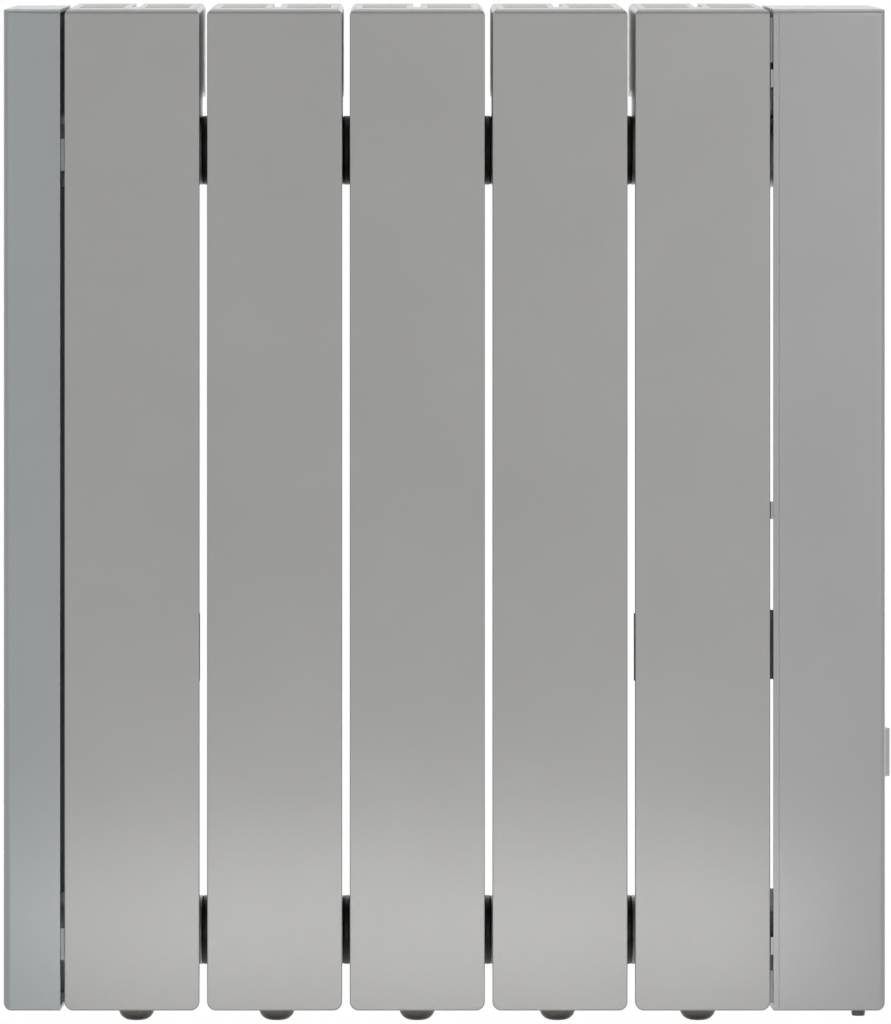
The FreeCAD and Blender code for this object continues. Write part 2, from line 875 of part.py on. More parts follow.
# Right upper plug: a collar on a sealing ring carries the housing's steel frame, which a nut
# clamps, and the overheat cut-out sits on the end of the spigot.
seal("right_upper_seal", BANK_END, "upper_header", "+X")
node(
    fuse(
        "right_upper_plug",
        rod(
            "right_upper_shank",
            BANK_END + " - end_shank",
            CHANNEL,
            "upper_header",
            "+X",
            "hub_bore - 2 * thread_fit",
            "end_shank + seal_thickness",
        ),
        rod(
            "right_upper_collar",
            BANK_END + " + seal_thickness",
            CHANNEL,
            "upper_header",
            "+X",
            "collar_diameter",
            COLLAR_LENGTH,
        ),
        rod(
            "right_upper_spigot",
            CHASSIS,
            CHANNEL,
            "upper_header",
            "+X",
            "spigot_diameter",
            "spigot_length",
        ),
    ),
    "right_upper_plug",
)
frame_nut("right_upper_nut", "upper_header", "nut_width", "spigot_diameter")
node(
    rod(
        "overheat_cutout",
        CHASSIS + " + spigot_length",
        CHANNEL,
        "upper_header",
        "+X",
        "cutout_diameter",
        "cutout_height",
    ),
    "overheat_cutout",
)

# Heating element: a steel hairpin along the lower header, with a hexagon head on a sealing ring, a
# threaded spigot through the housing frame and two connection pins.
seal("heater_seal", BANK_END, "lower_header", "+X")
bend = doc.addObject("Part::Torus", "heater_bend")
bind(bend, Radius1="rod_offset", Radius2="rod_diameter / 2")
bend.Angle3 = 180.0
bend.Placement.Rotation = ALONG["-Y"] * FreeCAD.Rotation(FreeCAD.Vector(0, 0, 1), 90)
bend.setExpression("Placement.Base.x", sized(BANK_END + " - end_shank - " + ROD_LENGTH))
bend.setExpression("Placement.Base.y", sized(CHANNEL))
bend.setExpression("Placement.Base.z", sized(BASE + " + lower_header"))
heater = [
    bend,
    rod(
        "heater_shank",
        BANK_END + " - end_shank",
        CHANNEL,
        "lower_header",
        "+X",
        "hub_bore - 2 * thread_fit",
        "end_shank + seal_thickness",
    ),
    hexagon(
        "heater_head",
        BANK_END + " + seal_thickness",
        CHANNEL,
        "lower_header",
        "+X",
        "heater_hex",
        COLLAR_LENGTH,
    ),
    rod("heater_spigot", CHASSIS, CHANNEL, "lower_header", "+X", "heater_spigot", "spigot_length"),
]
for side, sign in (("upper", "+"), ("lower", "-")):
    heater.append(
        rod(
            "heater_rod_" + side,
            BANK_END + " - end_shank - " + ROD_LENGTH,
            CHANNEL,
            "lower_header %s rod_offset" % sign,
            "+X",
            "rod_diameter",
            ROD_LENGTH,
        )
    )
    heater.append(
        rod(
            "heater_pin_" + side,
            CHASSIS + " + spigot_length",
            CHANNEL,
            "lower_header %s pin_offset" % sign,
            "+X",
            "pin_diameter",
            "pin_length",
        )
    )
node(fuse("heating_element", *heater), "heating_element")
frame_nut("heater_nut", "lower_header", "heater_nut", "heater_spigot")

# Housing frame: a bent steel plate that stands beside the last section and closes the housing's
# back, with a tongue to the last section's lug and stand-offs for the board.
FRAME_DEPTH = "section_depth - housing_wall - 2 * chassis_clearance"
frame_pieces = [
    box(
        "frame_side",
        CHASSIS,
        FRONT + " + housing_wall + chassis_clearance",
        "housing_wall + chassis_clearance",
        "chassis_thickness",
        FRAME_DEPTH,
        "front_height - 2 * housing_wall - 2 * chassis_clearance",
    ),
    box(
        "frame_back",
        CHASSIS,
        REAR + " - chassis_clearance - chassis_thickness",
        "housing_wall + chassis_clearance",
        "housing_width - chassis_offset - housing_wall - chassis_clearance",
        "chassis_thickness",
        "rear_height - 2 * housing_wall - 2 * chassis_clearance - section_depth / 8 * " + SLOPE,
    ),
    box(
        "frame_tongue",
        "2 * pitch + lug_width / 2 + tongue_clearance",
        REAR + " - tongue_inset",
        "lower_seat + tongue_lift",
        "(plate_width - lug_width) / 2 + right_gap + chassis_offset - tongue_clearance",
        "chassis_thickness",
        "tongue_height",
    ),
]
for row in ("lower", "upper"):
    for column in ("front", "back"):
        along_y = "standoff_inset" if column == "front" else "board_width - standoff_inset"
        along_z = "standoff_inset" if row == "lower" else "board_height - standoff_inset"
        frame_pieces.append(
            rod(
                "standoff_%s_%s" % (row, column),
                CHASSIS,
                "%s + board_setback + %s" % (FRONT, along_y),
                "board_bottom + " + along_z,
                "+X",
                "standoff_diameter",
                "chassis_thickness + standoff_height",
            )
        )
frame_holes = []
for level, spigot in (("upper", "spigot_diameter"), ("lower", "heater_spigot")):
    frame_holes.append(
        rod(
            "frame_%s_hole" % level,
            CHASSIS,
            CHANNEL,
            level + "_header",
            "+X",
            spigot + " + 2 * nut_clearance",
            "chassis_thickness",
        )
    )
REAR_SCREW = HOUSING_SIDE + " - housing_wall - rear_boss_width / 2"
for number in range(3):
    frame_holes.append(
        rod(
            "frame_screw_hole_%d" % (number + 1),
            REAR_SCREW,
            REAR + " - chassis_clearance - chassis_thickness",
            "rear_boss_first + %d * rear_boss_spacing" % number,
            "+Y",
            "rear_screw_diameter + 2 * screw_clearance",
            "chassis_thickness",
        )
    )
node(cut("housing_frame", fuse("housing_frame_solid", *frame_pieces), *frame_holes), "housing_frame")

# Housing cover: a deep moulding with rounded outer edges, a fine seam line down its front, walls and
# lips beside the last section's hood and foot, three tabs that fill the slit up to the front, two of
# them with tongues behind the last front plate, bosses for the screws at the back, a window for the
# switch and holes below for the cord gland and the air sensor.
housing_solid = padded("housing_solid", "YZ_Plane", cover_profile("0", "0", "0", "0"), "housing_width")
round_cover(housing_solid, "housing_radius", right_closed)
place(housing_solid, HOUSING_EDGE, "0", "0")
housing_hollow = padded(
    "housing_hollow",
    "YZ_Plane",
    cover_profile("housing_wall", "housing_wall", "housing_wall", "0"),
    "housing_width - housing_wall",
)
rounded(
    housing_hollow,
    "housing_radius - housing_wall",
    lambda edge, size: right_closed(edge, size) and upright(edge, size),
)
place(housing_hollow, HOUSING_EDGE, "0", "0")
housing_return = padded(
    "housing_return",
    "YZ_Plane",
    [
        (FRONT + " + housing_wall / 2", "wing_bottom"),
        (FRONT + " + housing_wall / 2", "front_height - housing_wall / 2"),
        (REAR, "cover_top - housing_wall / 2"),
        (REAR, "front_height - return_height"),
        (FRONT + " + return_depth", "front_height - return_height"),
        (FRONT + " + return_depth", "wing_bottom"),
    ],
    "housing_wall",
)
place(housing_return, HOUSING_EDGE, "0", "0")
foot_return = box(
    "foot_return",
    HOUSING_EDGE,
    FRONT + " + housing_wall / 2",
    "housing_wall / 2",
    "housing_wall",
    "return_depth - housing_wall / 2",
    "foot_return_height - housing_wall / 2",
)
housing_pieces = [cut("housing_skin", housing_solid, housing_hollow), housing_return, foot_return]
SLIT_REACH = "right_gap - tab_clearance"
for level in ("upper", "middle", "lower"):
    reach = SLIT_REACH if level == "upper" else "tab_reach"
    height = "right_tab_height"
    tab_name = "right_%s_tab" % level
    housing_pieces.extend(tab(tab_name, HOUSING_EDGE, 1, "housing_wall / 2", tab_name, height, reach))
    housing_pieces.append(
        box(
            tab_name + "_front",
            HOUSING_EDGE + " - right_gap + tab_clearance",
            FRONT + " + right_tab_setback",
            tab_name,
            SLIT_REACH + " + housing_wall",
            "plate_thickness + tab_clearance + tab_thickness / 2 - right_tab_setback",
            height,
        )
    )
for lip in ("upper_lip", "foot_lip"):
    housing_pieces.extend(tab(lip, HOUSING_EDGE, 1, "housing_wall / 2", lip, lip + "_height", SLIT_REACH))
housing_holes = [
    brow("housing_brow", HOUSING_EDGE + " - housing_width", "3 * housing_width", COVER_SLOPE),
    foot("housing_foot", HOUSING_SIDE + " - foot_radius", HOUSING_SIDE + " - foot_radius"),
    box(
        "seam",
        HOUSING_EDGE + " + seam_offset",
        FRONT + " - seam_depth",
        "-seam_depth",
        "seam_width",
        "2 * seam_depth",
        "cover_top",
    ),
    box(
        "switch_window",
        HOUSING_SIDE + " - 2 * housing_wall",
        FRONT + " + switch_setback - switch_pocket_width / 2 - switch_wall - switch_clearance",
        "switch_height - switch_pocket_height / 2 - switch_wall - switch_clearance",
        "3 * housing_wall",
        "switch_pocket_width + 2 * switch_wall + 2 * switch_clearance",
        "switch_pocket_height + 2 * switch_wall + 2 * switch_clearance",
    ),
    rod(
        "gland_hole",
        HOUSING_SIDE + " - gland_inset",
        FRONT + " + gland_setback",
        "0",
        "+Z",
        "gland_thread + 2 * nut_clearance",
        "housing_wall",
    ),
    rod(
        "sensor_hole",
        HOUSING_EDGE + " + sensor_offset",
        FRONT + " + sensor_setback",
        "0",
        "+Z",
        "sensor_diameter + 2 * thread_fit",
        "housing_wall",
    ),
]
rear_screws = []
for number in range(3):
    height = "rear_boss_first + %d * rear_boss_spacing" % number
    housing_pieces.append(
        box(
            "rear_boss_%d" % (number + 1),
            HOUSING_SIDE + " - housing_wall - rear_boss_width",
            REAR + " - chassis_clearance - chassis_thickness - rear_boss_depth",
            height + " - rear_boss_width / 2",
            "rear_boss_width + housing_wall / 2",
            "rear_boss_depth",
            "rear_boss_width",
        )
    )
    housing_holes.append(
        rod(
            "rear_boss_hole_%d" % (number + 1),
            REAR_SCREW,
            REAR + " - chassis_clearance - chassis_thickness",
            height,
            "-Y",
            "rear_screw_diameter + 2 * thread_fit",
            "rear_screw_length",
        )
    )
    screw = turned(
        "rear_screw_%d" % (number + 1),
        [
            ("0", "-rear_screw_head_height"),
            ("rear_screw_head / 2", "-rear_screw_head_height"),
            ("rear_screw_head / 2", "0"),
            ("rear_screw_diameter / 2", "0"),
            ("rear_screw_diameter / 2", "rear_screw_length"),
            ("0", "rear_screw_length"),
        ],
    )
    place(screw, REAR_SCREW, REAR + " - chassis_clearance", height, "-Y")
    rear_screws.append(screw)
node(cut("housing_cover", fuse("housing_full", *housing_pieces), *housing_holes), "housing_cover")
node(group("housing_screws", *rear_screws), "housing_screws")

# Control board on its stand-offs, with a relay block and a finned heat sink.
BOARD_FACE = CHASSIS + " + chassis_thickness + standoff_height + board_thickness"
node(
    box(
        "control_board",
        CHASSIS + " + chassis_thickness + standoff_height",
        FRONT + " + board_setback",
        "board_bottom",
        "board_thickness",
        "board_width",
        "board_height",
    ),
    "control_board",
)
node(
    box(
        "board_relay",
        BOARD_FACE,
        FRONT + " + board_setback + relay_inset",
        "board_bottom + relay_inset",
        "relay_height",
        "relay_width",
        "relay_length",
    ),
    "board_relay",
)
SINK_BACK = FRONT + " + board_setback + (board_width - sink_width) / 2"
SINK_LOW = "board_bottom + board_height - relay_inset - sink_length"
sink = [box("sink_base", BOARD_FACE, SINK_BACK, SINK_LOW, "sink_base", "sink_width", "sink_length")]
for number in range(5):
    sink.append(
        box(
            "sink_fin_%d" % (number + 1),
            BOARD_FACE,
            "%s + %d * (sink_width - sink_fin) / 4" % (SINK_BACK, number),
            SINK_LOW,
            "sink_height",
            "sink_fin",
            "sink_length",
        )
    )
node(fuse("heat_sink", *sink), "heat_sink")

# Terminal block on the frame, with a wire bore through each pole.
TERMINAL = CHASSIS + " + chassis_thickness"
bores = [
    rod(
        "terminal_bore_%d" % (number + 1),
        TERMINAL + " + terminal_depth / 2",
        FRONT + " + terminal_setback",
        "terminal_bottom + terminal_height / 2 + %d * terminal_pitch" % (number - 1),
        "+Y",
        "terminal_bore",
        "terminal_width",
    )
    for number in range(3)
]
node(
    cut(
        "terminal_block",
        box(
            "terminal_solid",
            TERMINAL,
            FRONT + " + terminal_setback",
            "terminal_bottom",
            "terminal_depth",
            "terminal_width",
            "terminal_height",
        ),
        *bores,
    ),
    "terminal_block",
)

# Air sensor: a capsule in the housing's floor that feels the room air below.
node(
    rod(
        "air_sensor",
        HOUSING_EDGE + " + sensor_offset",
        FRONT + " + sensor_setback",
        "0",
        "+Z",
        "sensor_diameter",
        "sensor_length",
    ),
    "air_sensor",
)

# Cord gland: a flanged bush under the housing, with a tapered nozzle and a nut inside.
gland = turned(
    "cord_gland",
    [
        ("gland_bore / 2", "-gland_drop"),
        ("gland_tip / 2", "-gland_drop"),
        ("gland_nozzle / 2", "-gland_flange_height"),
        ("gland_flange / 2", "-gland_flange_height"),
        ("gland_flange / 2", "0"),
        ("gland_thread / 2", "0"),
        ("gland_thread / 2", "gland_thread_length"),
        ("gland_bore / 2", "gland_thread_length"),
    ],
)
place(gland, HOUSING_SIDE + " - gland_inset", FRONT + " + gland_setback", "0")
node(gland, "cord_gland")
node(
    cut(
        "gland_nut",
        hexagon(
            "gland_nut_solid",
            HOUSING_SIDE + " - gland_inset",
            FRONT + " + gland_setback",
            "housing_wall",
            "+Z",
            "gland_nut",
            "gland_nut_height",
        ),
        rod(
            "gland_nut_hole",
            HOUSING_SIDE + " - gland_inset",
            FRONT + " + gland_setback",
            "housing_wall",
            "+Z",
            "gland_thread + 2 * nut_clearance",
            "gland_nut_height",
        ),
    ),
    "gland_nut",
)

# Switch body: a flange on the housing's side, a raised rim round the rocker, a box behind the wall
# with bearing holes for the rocker, and two connection blades.
SWITCH_Y = FRONT + " + switch_setback"
POCKET_FLOOR = "flange_thickness + rim_rise - switch_pocket_depth"
PIVOT = HOUSING_SIDE + " - pivot_depth"


def switch_block(name, low, high, width, height):
    """A block centred on the switch, between two distances from the housing's side."""
    return box(
        name,
        "%s + %s" % (HOUSING_SIDE, low),
        "%s - (%s) / 2" % (SWITCH_Y, width),
        "switch_height - (%s) / 2" % height,
        "(%s) - (%s)" % (high, low),
        width,
        height,
    )


switch_pieces = [
    switch_block(
        "switch_flange",
        "0",
        "flange_thickness",
        "rim_width + 2 * flange_lip",
        "rim_height + 2 * flange_lip",
    ),
    switch_block(
        "switch_rim",
        "flange_thickness",
        "flange_thickness + rim_rise",
        "rim_width",
        "rim_height",
    ),
    switch_block(
        "switch_box",
        POCKET_FLOOR + " - switch_floor",
        "0",
        "switch_pocket_width + 2 * switch_wall",
        "switch_pocket_height + 2 * switch_wall",
    ),
]
for number in range(2):
    switch_pieces.append(
        box(
            "switch_blade_%d" % (number + 1),
            "%s + %s - switch_floor - blade_length" % (HOUSING_SIDE, POCKET_FLOOR),
            SWITCH_Y + " - blade_width / 2",
            "switch_height + %s * blade_pitch - blade_thickness / 2" % (number - 0.5),
            "blade_length",
            "blade_width",
            "blade_thickness",
        )
    )
node(
    cut(
        "switch_body",
        fuse("switch_solid", *switch_pieces),
        switch_block(
            "switch_pocket",
            POCKET_FLOOR,
            "flange_thickness + rim_rise",
            "switch_pocket_width",
            "switch_pocket_height",
        ),
        rod(
            "switch_bearing",
            PIVOT,
            SWITCH_Y + " - switch_pocket_width / 2 - switch_wall",
            "switch_height",
            "+Y",
            "trunnion_diameter + 2 * trunnion_fit",
            "switch_pocket_width + 2 * switch_wall",
        ),
    ),
    "switch_body",
)

# Rocker: a key with two sloping faces that tips on a pin through it, shown in its off position.
rocker_key = padded(
    "rocker_key",
    "XZ_Plane",
    [
        ("-rocker_skirt", "-rocker_height / 2"),
        ("rocker_crest", "-rocker_height / 2"),
        ("rocker_middle", "0"),
        ("rocker_crest", "rocker_height / 2"),
        ("-rocker_skirt", "rocker_height / 2"),
        ("-rocker_keel", "0"),
    ],
    "rocker_width",
    True,
)
rocker_pin = doc.addObject("Part::Cylinder", "rocker_pin")
bind(
    rocker_pin,
    Radius="trunnion_diameter / 2",
    Height="switch_pocket_width + 2 * trunnion_reach",
)
rocker_pin.Placement.Rotation = ALONG["+Y"]
rocker_pin.setExpression("Placement.Base.y", sized("-switch_pocket_width / 2 - trunnion_reach"))
rocker = fuse("rocker", rocker_key, rocker_pin)
rocker.Placement.Rotation = FreeCAD.Rotation(FreeCAD.Vector(0, 1, 0), 1.0)
rocker.setExpression("Placement.Rotation.Angle", sized("rocker_tilt"))
rocker.setExpression("Placement.Base.x", sized(PIVOT))
rocker.setExpression("Placement.Base.y", sized(SWITCH_Y))
rocker.setExpression("Placement.Base.z", sized(BASE + " + switch_height"))
node(rocker, "rocker")

WAYS = {
    "+X": (1, 0, 0),
    "-X": (-1, 0, 0),
    "-Y": (0, -1, 0),
    "+Z": (0, 0, 1),
    "-Z": (0, 0, -1),
}


def shifted(corner, way, steps, distance):
    """A corner's three formulas, moved along a way by a number of distances."""
    return ["%s + (%d) * %s" % (text, steps * part, distance) for text, part in zip(corner, WAYS[way])]


def lead(name, corners, ways):
    """A wire of straight runs along the given ways, with a quarter bend at each inner corner."""
    pieces = []
    last = len(ways) - 1
    for number, way in enumerate(ways):
        first, second = corners[number], corners[number + 1]
        bends = (number > 0) + (number < last)
        span = " + ".join("(%d) * (%s - (%s))" % step for step in zip(WAYS[way], second, first))
        x, y, z = shifted(first, way, int(number > 0), "lead_bend")
        run_length = "%s - %d * lead_bend" % (span, bends)
        pieces.append(rod("%s_run_%d" % (name, number + 1), x, y, z, way, "lead_diameter", run_length))
        if number == last:
            continue
        following = ways[number + 1]
        quarter = doc.addObject("Part::Torus", "%s_bend_%d" % (name, number + 1))
        quarter.Angle3 = 90.0
        bind(quarter, Radius1="lead_bend", Radius2="lead_diameter / 2")
        place(quarter, *shifted(shifted(second, way, -1, "lead_bend"), following, 1, "lead_bend"))
        outward = -FreeCAD.Vector(*WAYS[following])
        onward = FreeCAD.Vector(*WAYS[way])
        quarter.Placement.Rotation = FreeCAD.Rotation(outward, onward, outward.cross(onward), "XYZ")
        pieces.append(quarter)
    return fuse(name, *pieces)


# Leads: insulated wires that run from the terminal block, the switch, the heating element, the
# overheat cut-out and the air sensor to the control board.
BLADE_END = HOUSING_SIDE + " + " + POCKET_FLOOR + " - switch_floor - blade_length"
PIN_END = CHASSIS + " + spigot_length + pin_length"
CUTOUT_END = CHASSIS + " + spigot_length + cutout_height"
POLE = TERMINAL + " + terminal_depth / 2"
POLE_FRONT = FRONT + " + terminal_setback"
SUPPLY_Y = POLE_FRONT + " - lead_stub - lead_bend"
SENSOR = HOUSING_EDGE + " + sensor_offset"
SENSOR_Y = FRONT + " + sensor_setback"
LOW_ENTRY = "board_bottom + lead_inset"
supply_leads = []
heater_leads = []
switch_leads = []
cutout_leads = []
for number, side in enumerate(("inner", "outer")):
    further = "%d * lead_spacing" % number
    entry = "%s + %s" % (LOW_ENTRY, further)
    pole_height = "terminal_bottom + terminal_height / 2 + %d * terminal_pitch" % (1 - number)
    rise = "%s + lead_stub + 2 * lead_bend + %s" % (POLE, further)
    supply_leads.append(
        lead(
            "supply_lead_" + side,
            [
                (POLE, POLE_FRONT + " + lead_plug_in", pole_height),
                (POLE, SUPPLY_Y, pole_height),
                (rise, SUPPLY_Y, pole_height),
                (rise, SUPPLY_Y, entry),
                (BOARD_FACE, SUPPLY_Y, entry),
            ],
            ["-Y", "+X", "+Z", "-X"],
        )
    )
    pin_height = "lower_header + %d * pin_offset" % (1 - 2 * number)
    rise = "%s + lead_stub + lead_bend + %s" % (PIN_END, further)
    heater_leads.append(
        lead(
            "heater_lead_" + side,
            [
                (PIN_END, CHANNEL, pin_height),
                (rise, CHANNEL, pin_height),
                (rise, CHANNEL, entry),
                (BOARD_FACE, CHANNEL, entry),
            ],
            ["+X", "+Z", "-X"],
        )
    )
    blade_height = "switch_height + %s * blade_pitch" % (number - 0.5)
    rise = "%s + lead_stub + lead_bend + %s" % (BOARD_FACE, further)
    switch_leads.append(
        lead(
            "switch_lead_" + side,
            [
                (BLADE_END, SWITCH_Y, blade_height),
                (rise, SWITCH_Y, blade_height),
                (rise, SWITCH_Y, entry),
                (BOARD_FACE, SWITCH_Y, entry),
            ],
            ["-X", "+Z", "-X"],
        )
    )
    cutout_y = "%s + %d * cutout_lead_offset" % (CHANNEL, 1 - 2 * number)
    fall = CUTOUT_END + " + lead_stub + lead_bend"
    high_entry = "board_bottom + board_height - lead_inset"
    cutout_leads.append(
        lead(
            "cutout_lead_" + side,
            [
                (CUTOUT_END, cutout_y, "upper_header"),
                (fall, cutout_y, "upper_header"),
                (fall, cutout_y, high_entry),
                (BOARD_FACE, cutout_y, high_entry),
            ],
            ["+X", "-Z", "-X"],
        )
    )
node(group("supply_leads", *supply_leads), "supply_leads")
node(group("heater_leads", *heater_leads), "heater_leads")
node(group("switch_leads", *switch_leads), "switch_leads")
node(group("cutout_leads", *cutout_leads), "cutout_leads")
node(
    lead(
        "sensor_lead",
        [
            (SENSOR, SENSOR_Y, "sensor_length"),
            (SENSOR, SENSOR_Y, LOW_ENTRY),
            (BOARD_FACE, SENSOR_Y, LOW_ENTRY),
        ],
        ["+Z", "-X"],
    ),
    "sensor_lead",
)

# Wall brackets: four bent steel strips, each with a screw hole and a hook that rises behind a
# section's hood or lug, with a plastic liner on the hook.
for level in ("upper", "lower"):
    seat = level + "_seat"
    for side, sign in (("left", "-"), ("right", "")):
        name = "%s_%s" % (level, side)
        left = sign + "pitch - bracket_width / 2"
        arm_top = seat + " - hang_clearance - liner_thickness"
        hook_back = REAR + " - hood_wall - hook_clearance - liner_thickness"
        hook_front = hook_back + " - bracket_thickness"
        plate = padded(
            name + "_bracket_plate",
            "XZ_Plane",
            [
                ("-bracket_width / 2", "-bracket_drop"),
                ("bracket_width / 2", "-bracket_drop"),
                ("bracket_width / 2", "bracket_top"),
                ("-bracket_width / 2", "bracket_top"),
            ],
            "bracket_thickness",
            True,
        )
        rounded(plate, "bracket_radius", lambda edge, size: edge.BoundBox.YLength > size.YLength / 2)
        place(plate, sign + "pitch", "-bracket_thickness / 2", seat)
        bracket = cut(
            name + "_bracket",
            fuse(
                name + "_bracket_solid",
                plate,
                box(
                    name + "_bracket_arm",
                    left,
                    hook_front,
                    arm_top + " - bracket_thickness",
                    "bracket_width",
                    "-(%s)" % hook_front,
                    "bracket_thickness",
                ),
                box(
                    name + "_bracket_hook",
                    left,
                    hook_front,
                    arm_top + " - bracket_thickness",
                    "bracket_width",
                    "bracket_thickness",
                    "tongue_rise + hang_clearance + liner_thickness + bracket_thickness",
                ),
            ),
            rod(
                name + "_screw_hole",
                sign + "pitch",
                "-bracket_thickness",
                seat + " - screw_drop",
                "+Y",
                "wall_screw_hole",
                "bracket_thickness",
            ),
        )
        node(bracket, name + "_bracket")
        liner = cut(
            name + "_liner",
            fuse(
                name + "_liner_solid",
                box(
                    name + "_liner_sleeve",
                    left,
                    hook_front + " - liner_thickness",
                    arm_top,
                    "bracket_width",
                    "bracket_thickness + 2 * liner_thickness",
                    "tongue_rise + hang_clearance + 2 * liner_thickness",
                ),
                box(
                    name + "_liner_foot",
                    left,
                    hook_back,
                    arm_top,
                    "bracket_width",
                    "liner_thickness + hook_clearance + hood_wall + liner_thickness",
                    "liner_thickness",
                ),
            ),
            box(
                name + "_liner_slot",
                left,
                hook_front,
                arm_top,
                "bracket_width",
                "bracket_thickness",
                "tongue_rise + hang_clearance + liner_thickness",
            ),
        )
        node(liner, name + "_liner")

doc.recompute()

for item in doc.Objects:
    if "Invalid" in item.State or "Error" in item.State:
        raise RuntimeError("%s did not build: %s" % (item.Name, item.State))
for item in NODES:
    if item.Shape.isNull() or not item.Shape.isValid() or not item.Shape.Solids:
        raise RuntimeError("%s has no valid solid" % item.Label)

os.makedirs("parts", exist_ok=True)
for item in NODES:
    item.Shape.exportStep("parts/%s.step" % item.Label)
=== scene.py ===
import bmesh
import bpy
import json
import math
from mathutils import Matrix, Vector


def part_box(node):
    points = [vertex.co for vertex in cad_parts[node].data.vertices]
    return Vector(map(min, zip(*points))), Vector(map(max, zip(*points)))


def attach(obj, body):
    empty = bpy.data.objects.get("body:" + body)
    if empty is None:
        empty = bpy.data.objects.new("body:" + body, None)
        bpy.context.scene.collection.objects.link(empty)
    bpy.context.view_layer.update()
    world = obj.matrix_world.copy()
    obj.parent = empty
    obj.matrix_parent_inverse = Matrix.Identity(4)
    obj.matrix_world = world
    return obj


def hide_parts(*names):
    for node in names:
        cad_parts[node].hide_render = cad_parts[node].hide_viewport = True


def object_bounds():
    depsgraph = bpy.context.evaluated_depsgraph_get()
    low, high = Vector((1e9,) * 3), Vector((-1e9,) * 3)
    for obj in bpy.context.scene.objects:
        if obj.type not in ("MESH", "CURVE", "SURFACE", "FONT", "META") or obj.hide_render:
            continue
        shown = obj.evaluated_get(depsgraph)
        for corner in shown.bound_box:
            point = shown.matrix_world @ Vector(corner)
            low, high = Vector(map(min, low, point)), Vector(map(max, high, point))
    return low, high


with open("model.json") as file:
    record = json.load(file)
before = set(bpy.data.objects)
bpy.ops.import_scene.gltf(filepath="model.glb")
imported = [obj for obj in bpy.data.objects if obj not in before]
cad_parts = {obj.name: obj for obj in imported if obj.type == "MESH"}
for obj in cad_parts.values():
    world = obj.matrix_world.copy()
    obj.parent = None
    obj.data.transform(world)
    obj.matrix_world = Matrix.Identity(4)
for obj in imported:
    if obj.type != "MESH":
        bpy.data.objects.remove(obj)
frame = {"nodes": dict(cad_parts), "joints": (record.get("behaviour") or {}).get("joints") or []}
cad_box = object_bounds()
nodes = frame["nodes"]


# Sections: five alike castings, each a flat front plate under a vented hood, with the fluid channel
# and thin fins behind it. They are die-cast in aluminium, their edges are dressed, and they are
# sprayed with a metallic silver that is stoved to a satin skin.
EVEN = (1.0, 1.0, 1.0)
NOISE_LOW = 0.3
NOISE_HIGH = 0.7
COLOUR_DETAIL = 4.0
GLOSS_DETAIL = 2.0
GLOSS_FINENESS = 3.0
GRAIN_DETAIL = 3.0


def noise(tree, scale, detail, stretch):
    """Noise over the piece's own place, in waves a metre, drawn out along an axis where asked."""
    place = tree.nodes.new("ShaderNodeTexCoord")
    turn = tree.nodes.new("ShaderNodeMapping")
    turn.inputs["Scale"].default_value = stretch
    texture = tree.nodes.new("ShaderNodeTexNoise")
    texture.inputs["Scale"].default_value = scale
    texture.inputs["Detail"].default_value = detail
    tree.links.new(place.outputs["Object"], turn.inputs["Vector"])
    tree.links.new(turn.outputs["Vector"], texture.inputs["Vector"])
    return texture.outputs["Fac"]


def between(tree, factor, low, high):
    """Spreads the middle part of a factor from one number to another."""
    spread = tree.nodes.new("ShaderNodeMapRange")
    spread.inputs["From Min"].default_value = NOISE_LOW
    spread.inputs["From Max"].default_value = NOISE_HIGH
    spread.inputs["To Min"].default_value = low
    spread.inputs["To Max"].default_value = high
    tree.links.new(factor, spread.inputs["Value"])
    return spread.outputs["Result"]


def tinted(tree, factor, first, second):
    """A colour that wanders between two, given as linear red, green and blue."""
    mix = tree.nodes.new("ShaderNodeMix")
    mix.data_type = "RGBA"
    mix.inputs["A"].default_value = (*first, 1.0)
    mix.inputs["B"].default_value = (*second, 1.0)
    tree.links.new(factor, mix.inputs["Factor"])
    return mix.outputs["Result"]


def bumped(tree, height, depth, under=None):
    """A bump of a depth in metres, laid over an earlier one where there is one."""
    bump = tree.nodes.new("ShaderNodeBump")
    bump.inputs["Distance"].default_value = depth
    tree.links.new(height, bump.inputs["Height"])
    if under is not None:
        tree.links.new(under, bump.inputs["Normal"])
    return bump.outputs["Normal"]


def surface(name, colour, spread, mottle, grain, depth, rough=None, metallic=0.0, stretch=EVEN):
    """A finish whose colour wanders, with a fine grain, and whose gloss wanders where a range is given."""
    material = bpy.data.materials.new(name)
    material.use_nodes = True
    tree = material.node_tree
    shader = tree.nodes["Principled BSDF"]
    shader.inputs["Metallic"].default_value = metallic
    darker = tuple(part * (1 - spread) for part in colour)
    lighter = tuple(part * (1 + spread) for part in colour)
    wander = between(tree, noise(tree, mottle, COLOUR_DETAIL, stretch), 0.0, 1.0)
    tree.links.new(tinted(tree, wander, darker, lighter), shader.inputs["Base Color"])
    if rough is not None:
        gloss = noise(tree, mottle * GLOSS_FINENESS, GLOSS_DETAIL, stretch)
        tree.links.new(between(tree, gloss, *rough), shader.inputs["Roughness"])
    tree.links.new(bumped(tree, noise(tree, grain, GRAIN_DETAIL, stretch), depth), shader.inputs["Normal"])
    return material


PEEL_SCALE = 380.0
PEEL_DEPTH = 0.00003
FLAKE_SCALE = 2600.0
FLAKE_DEPTH = 0.000012
FLAKE_ROUGH = (0.38, 0.48)


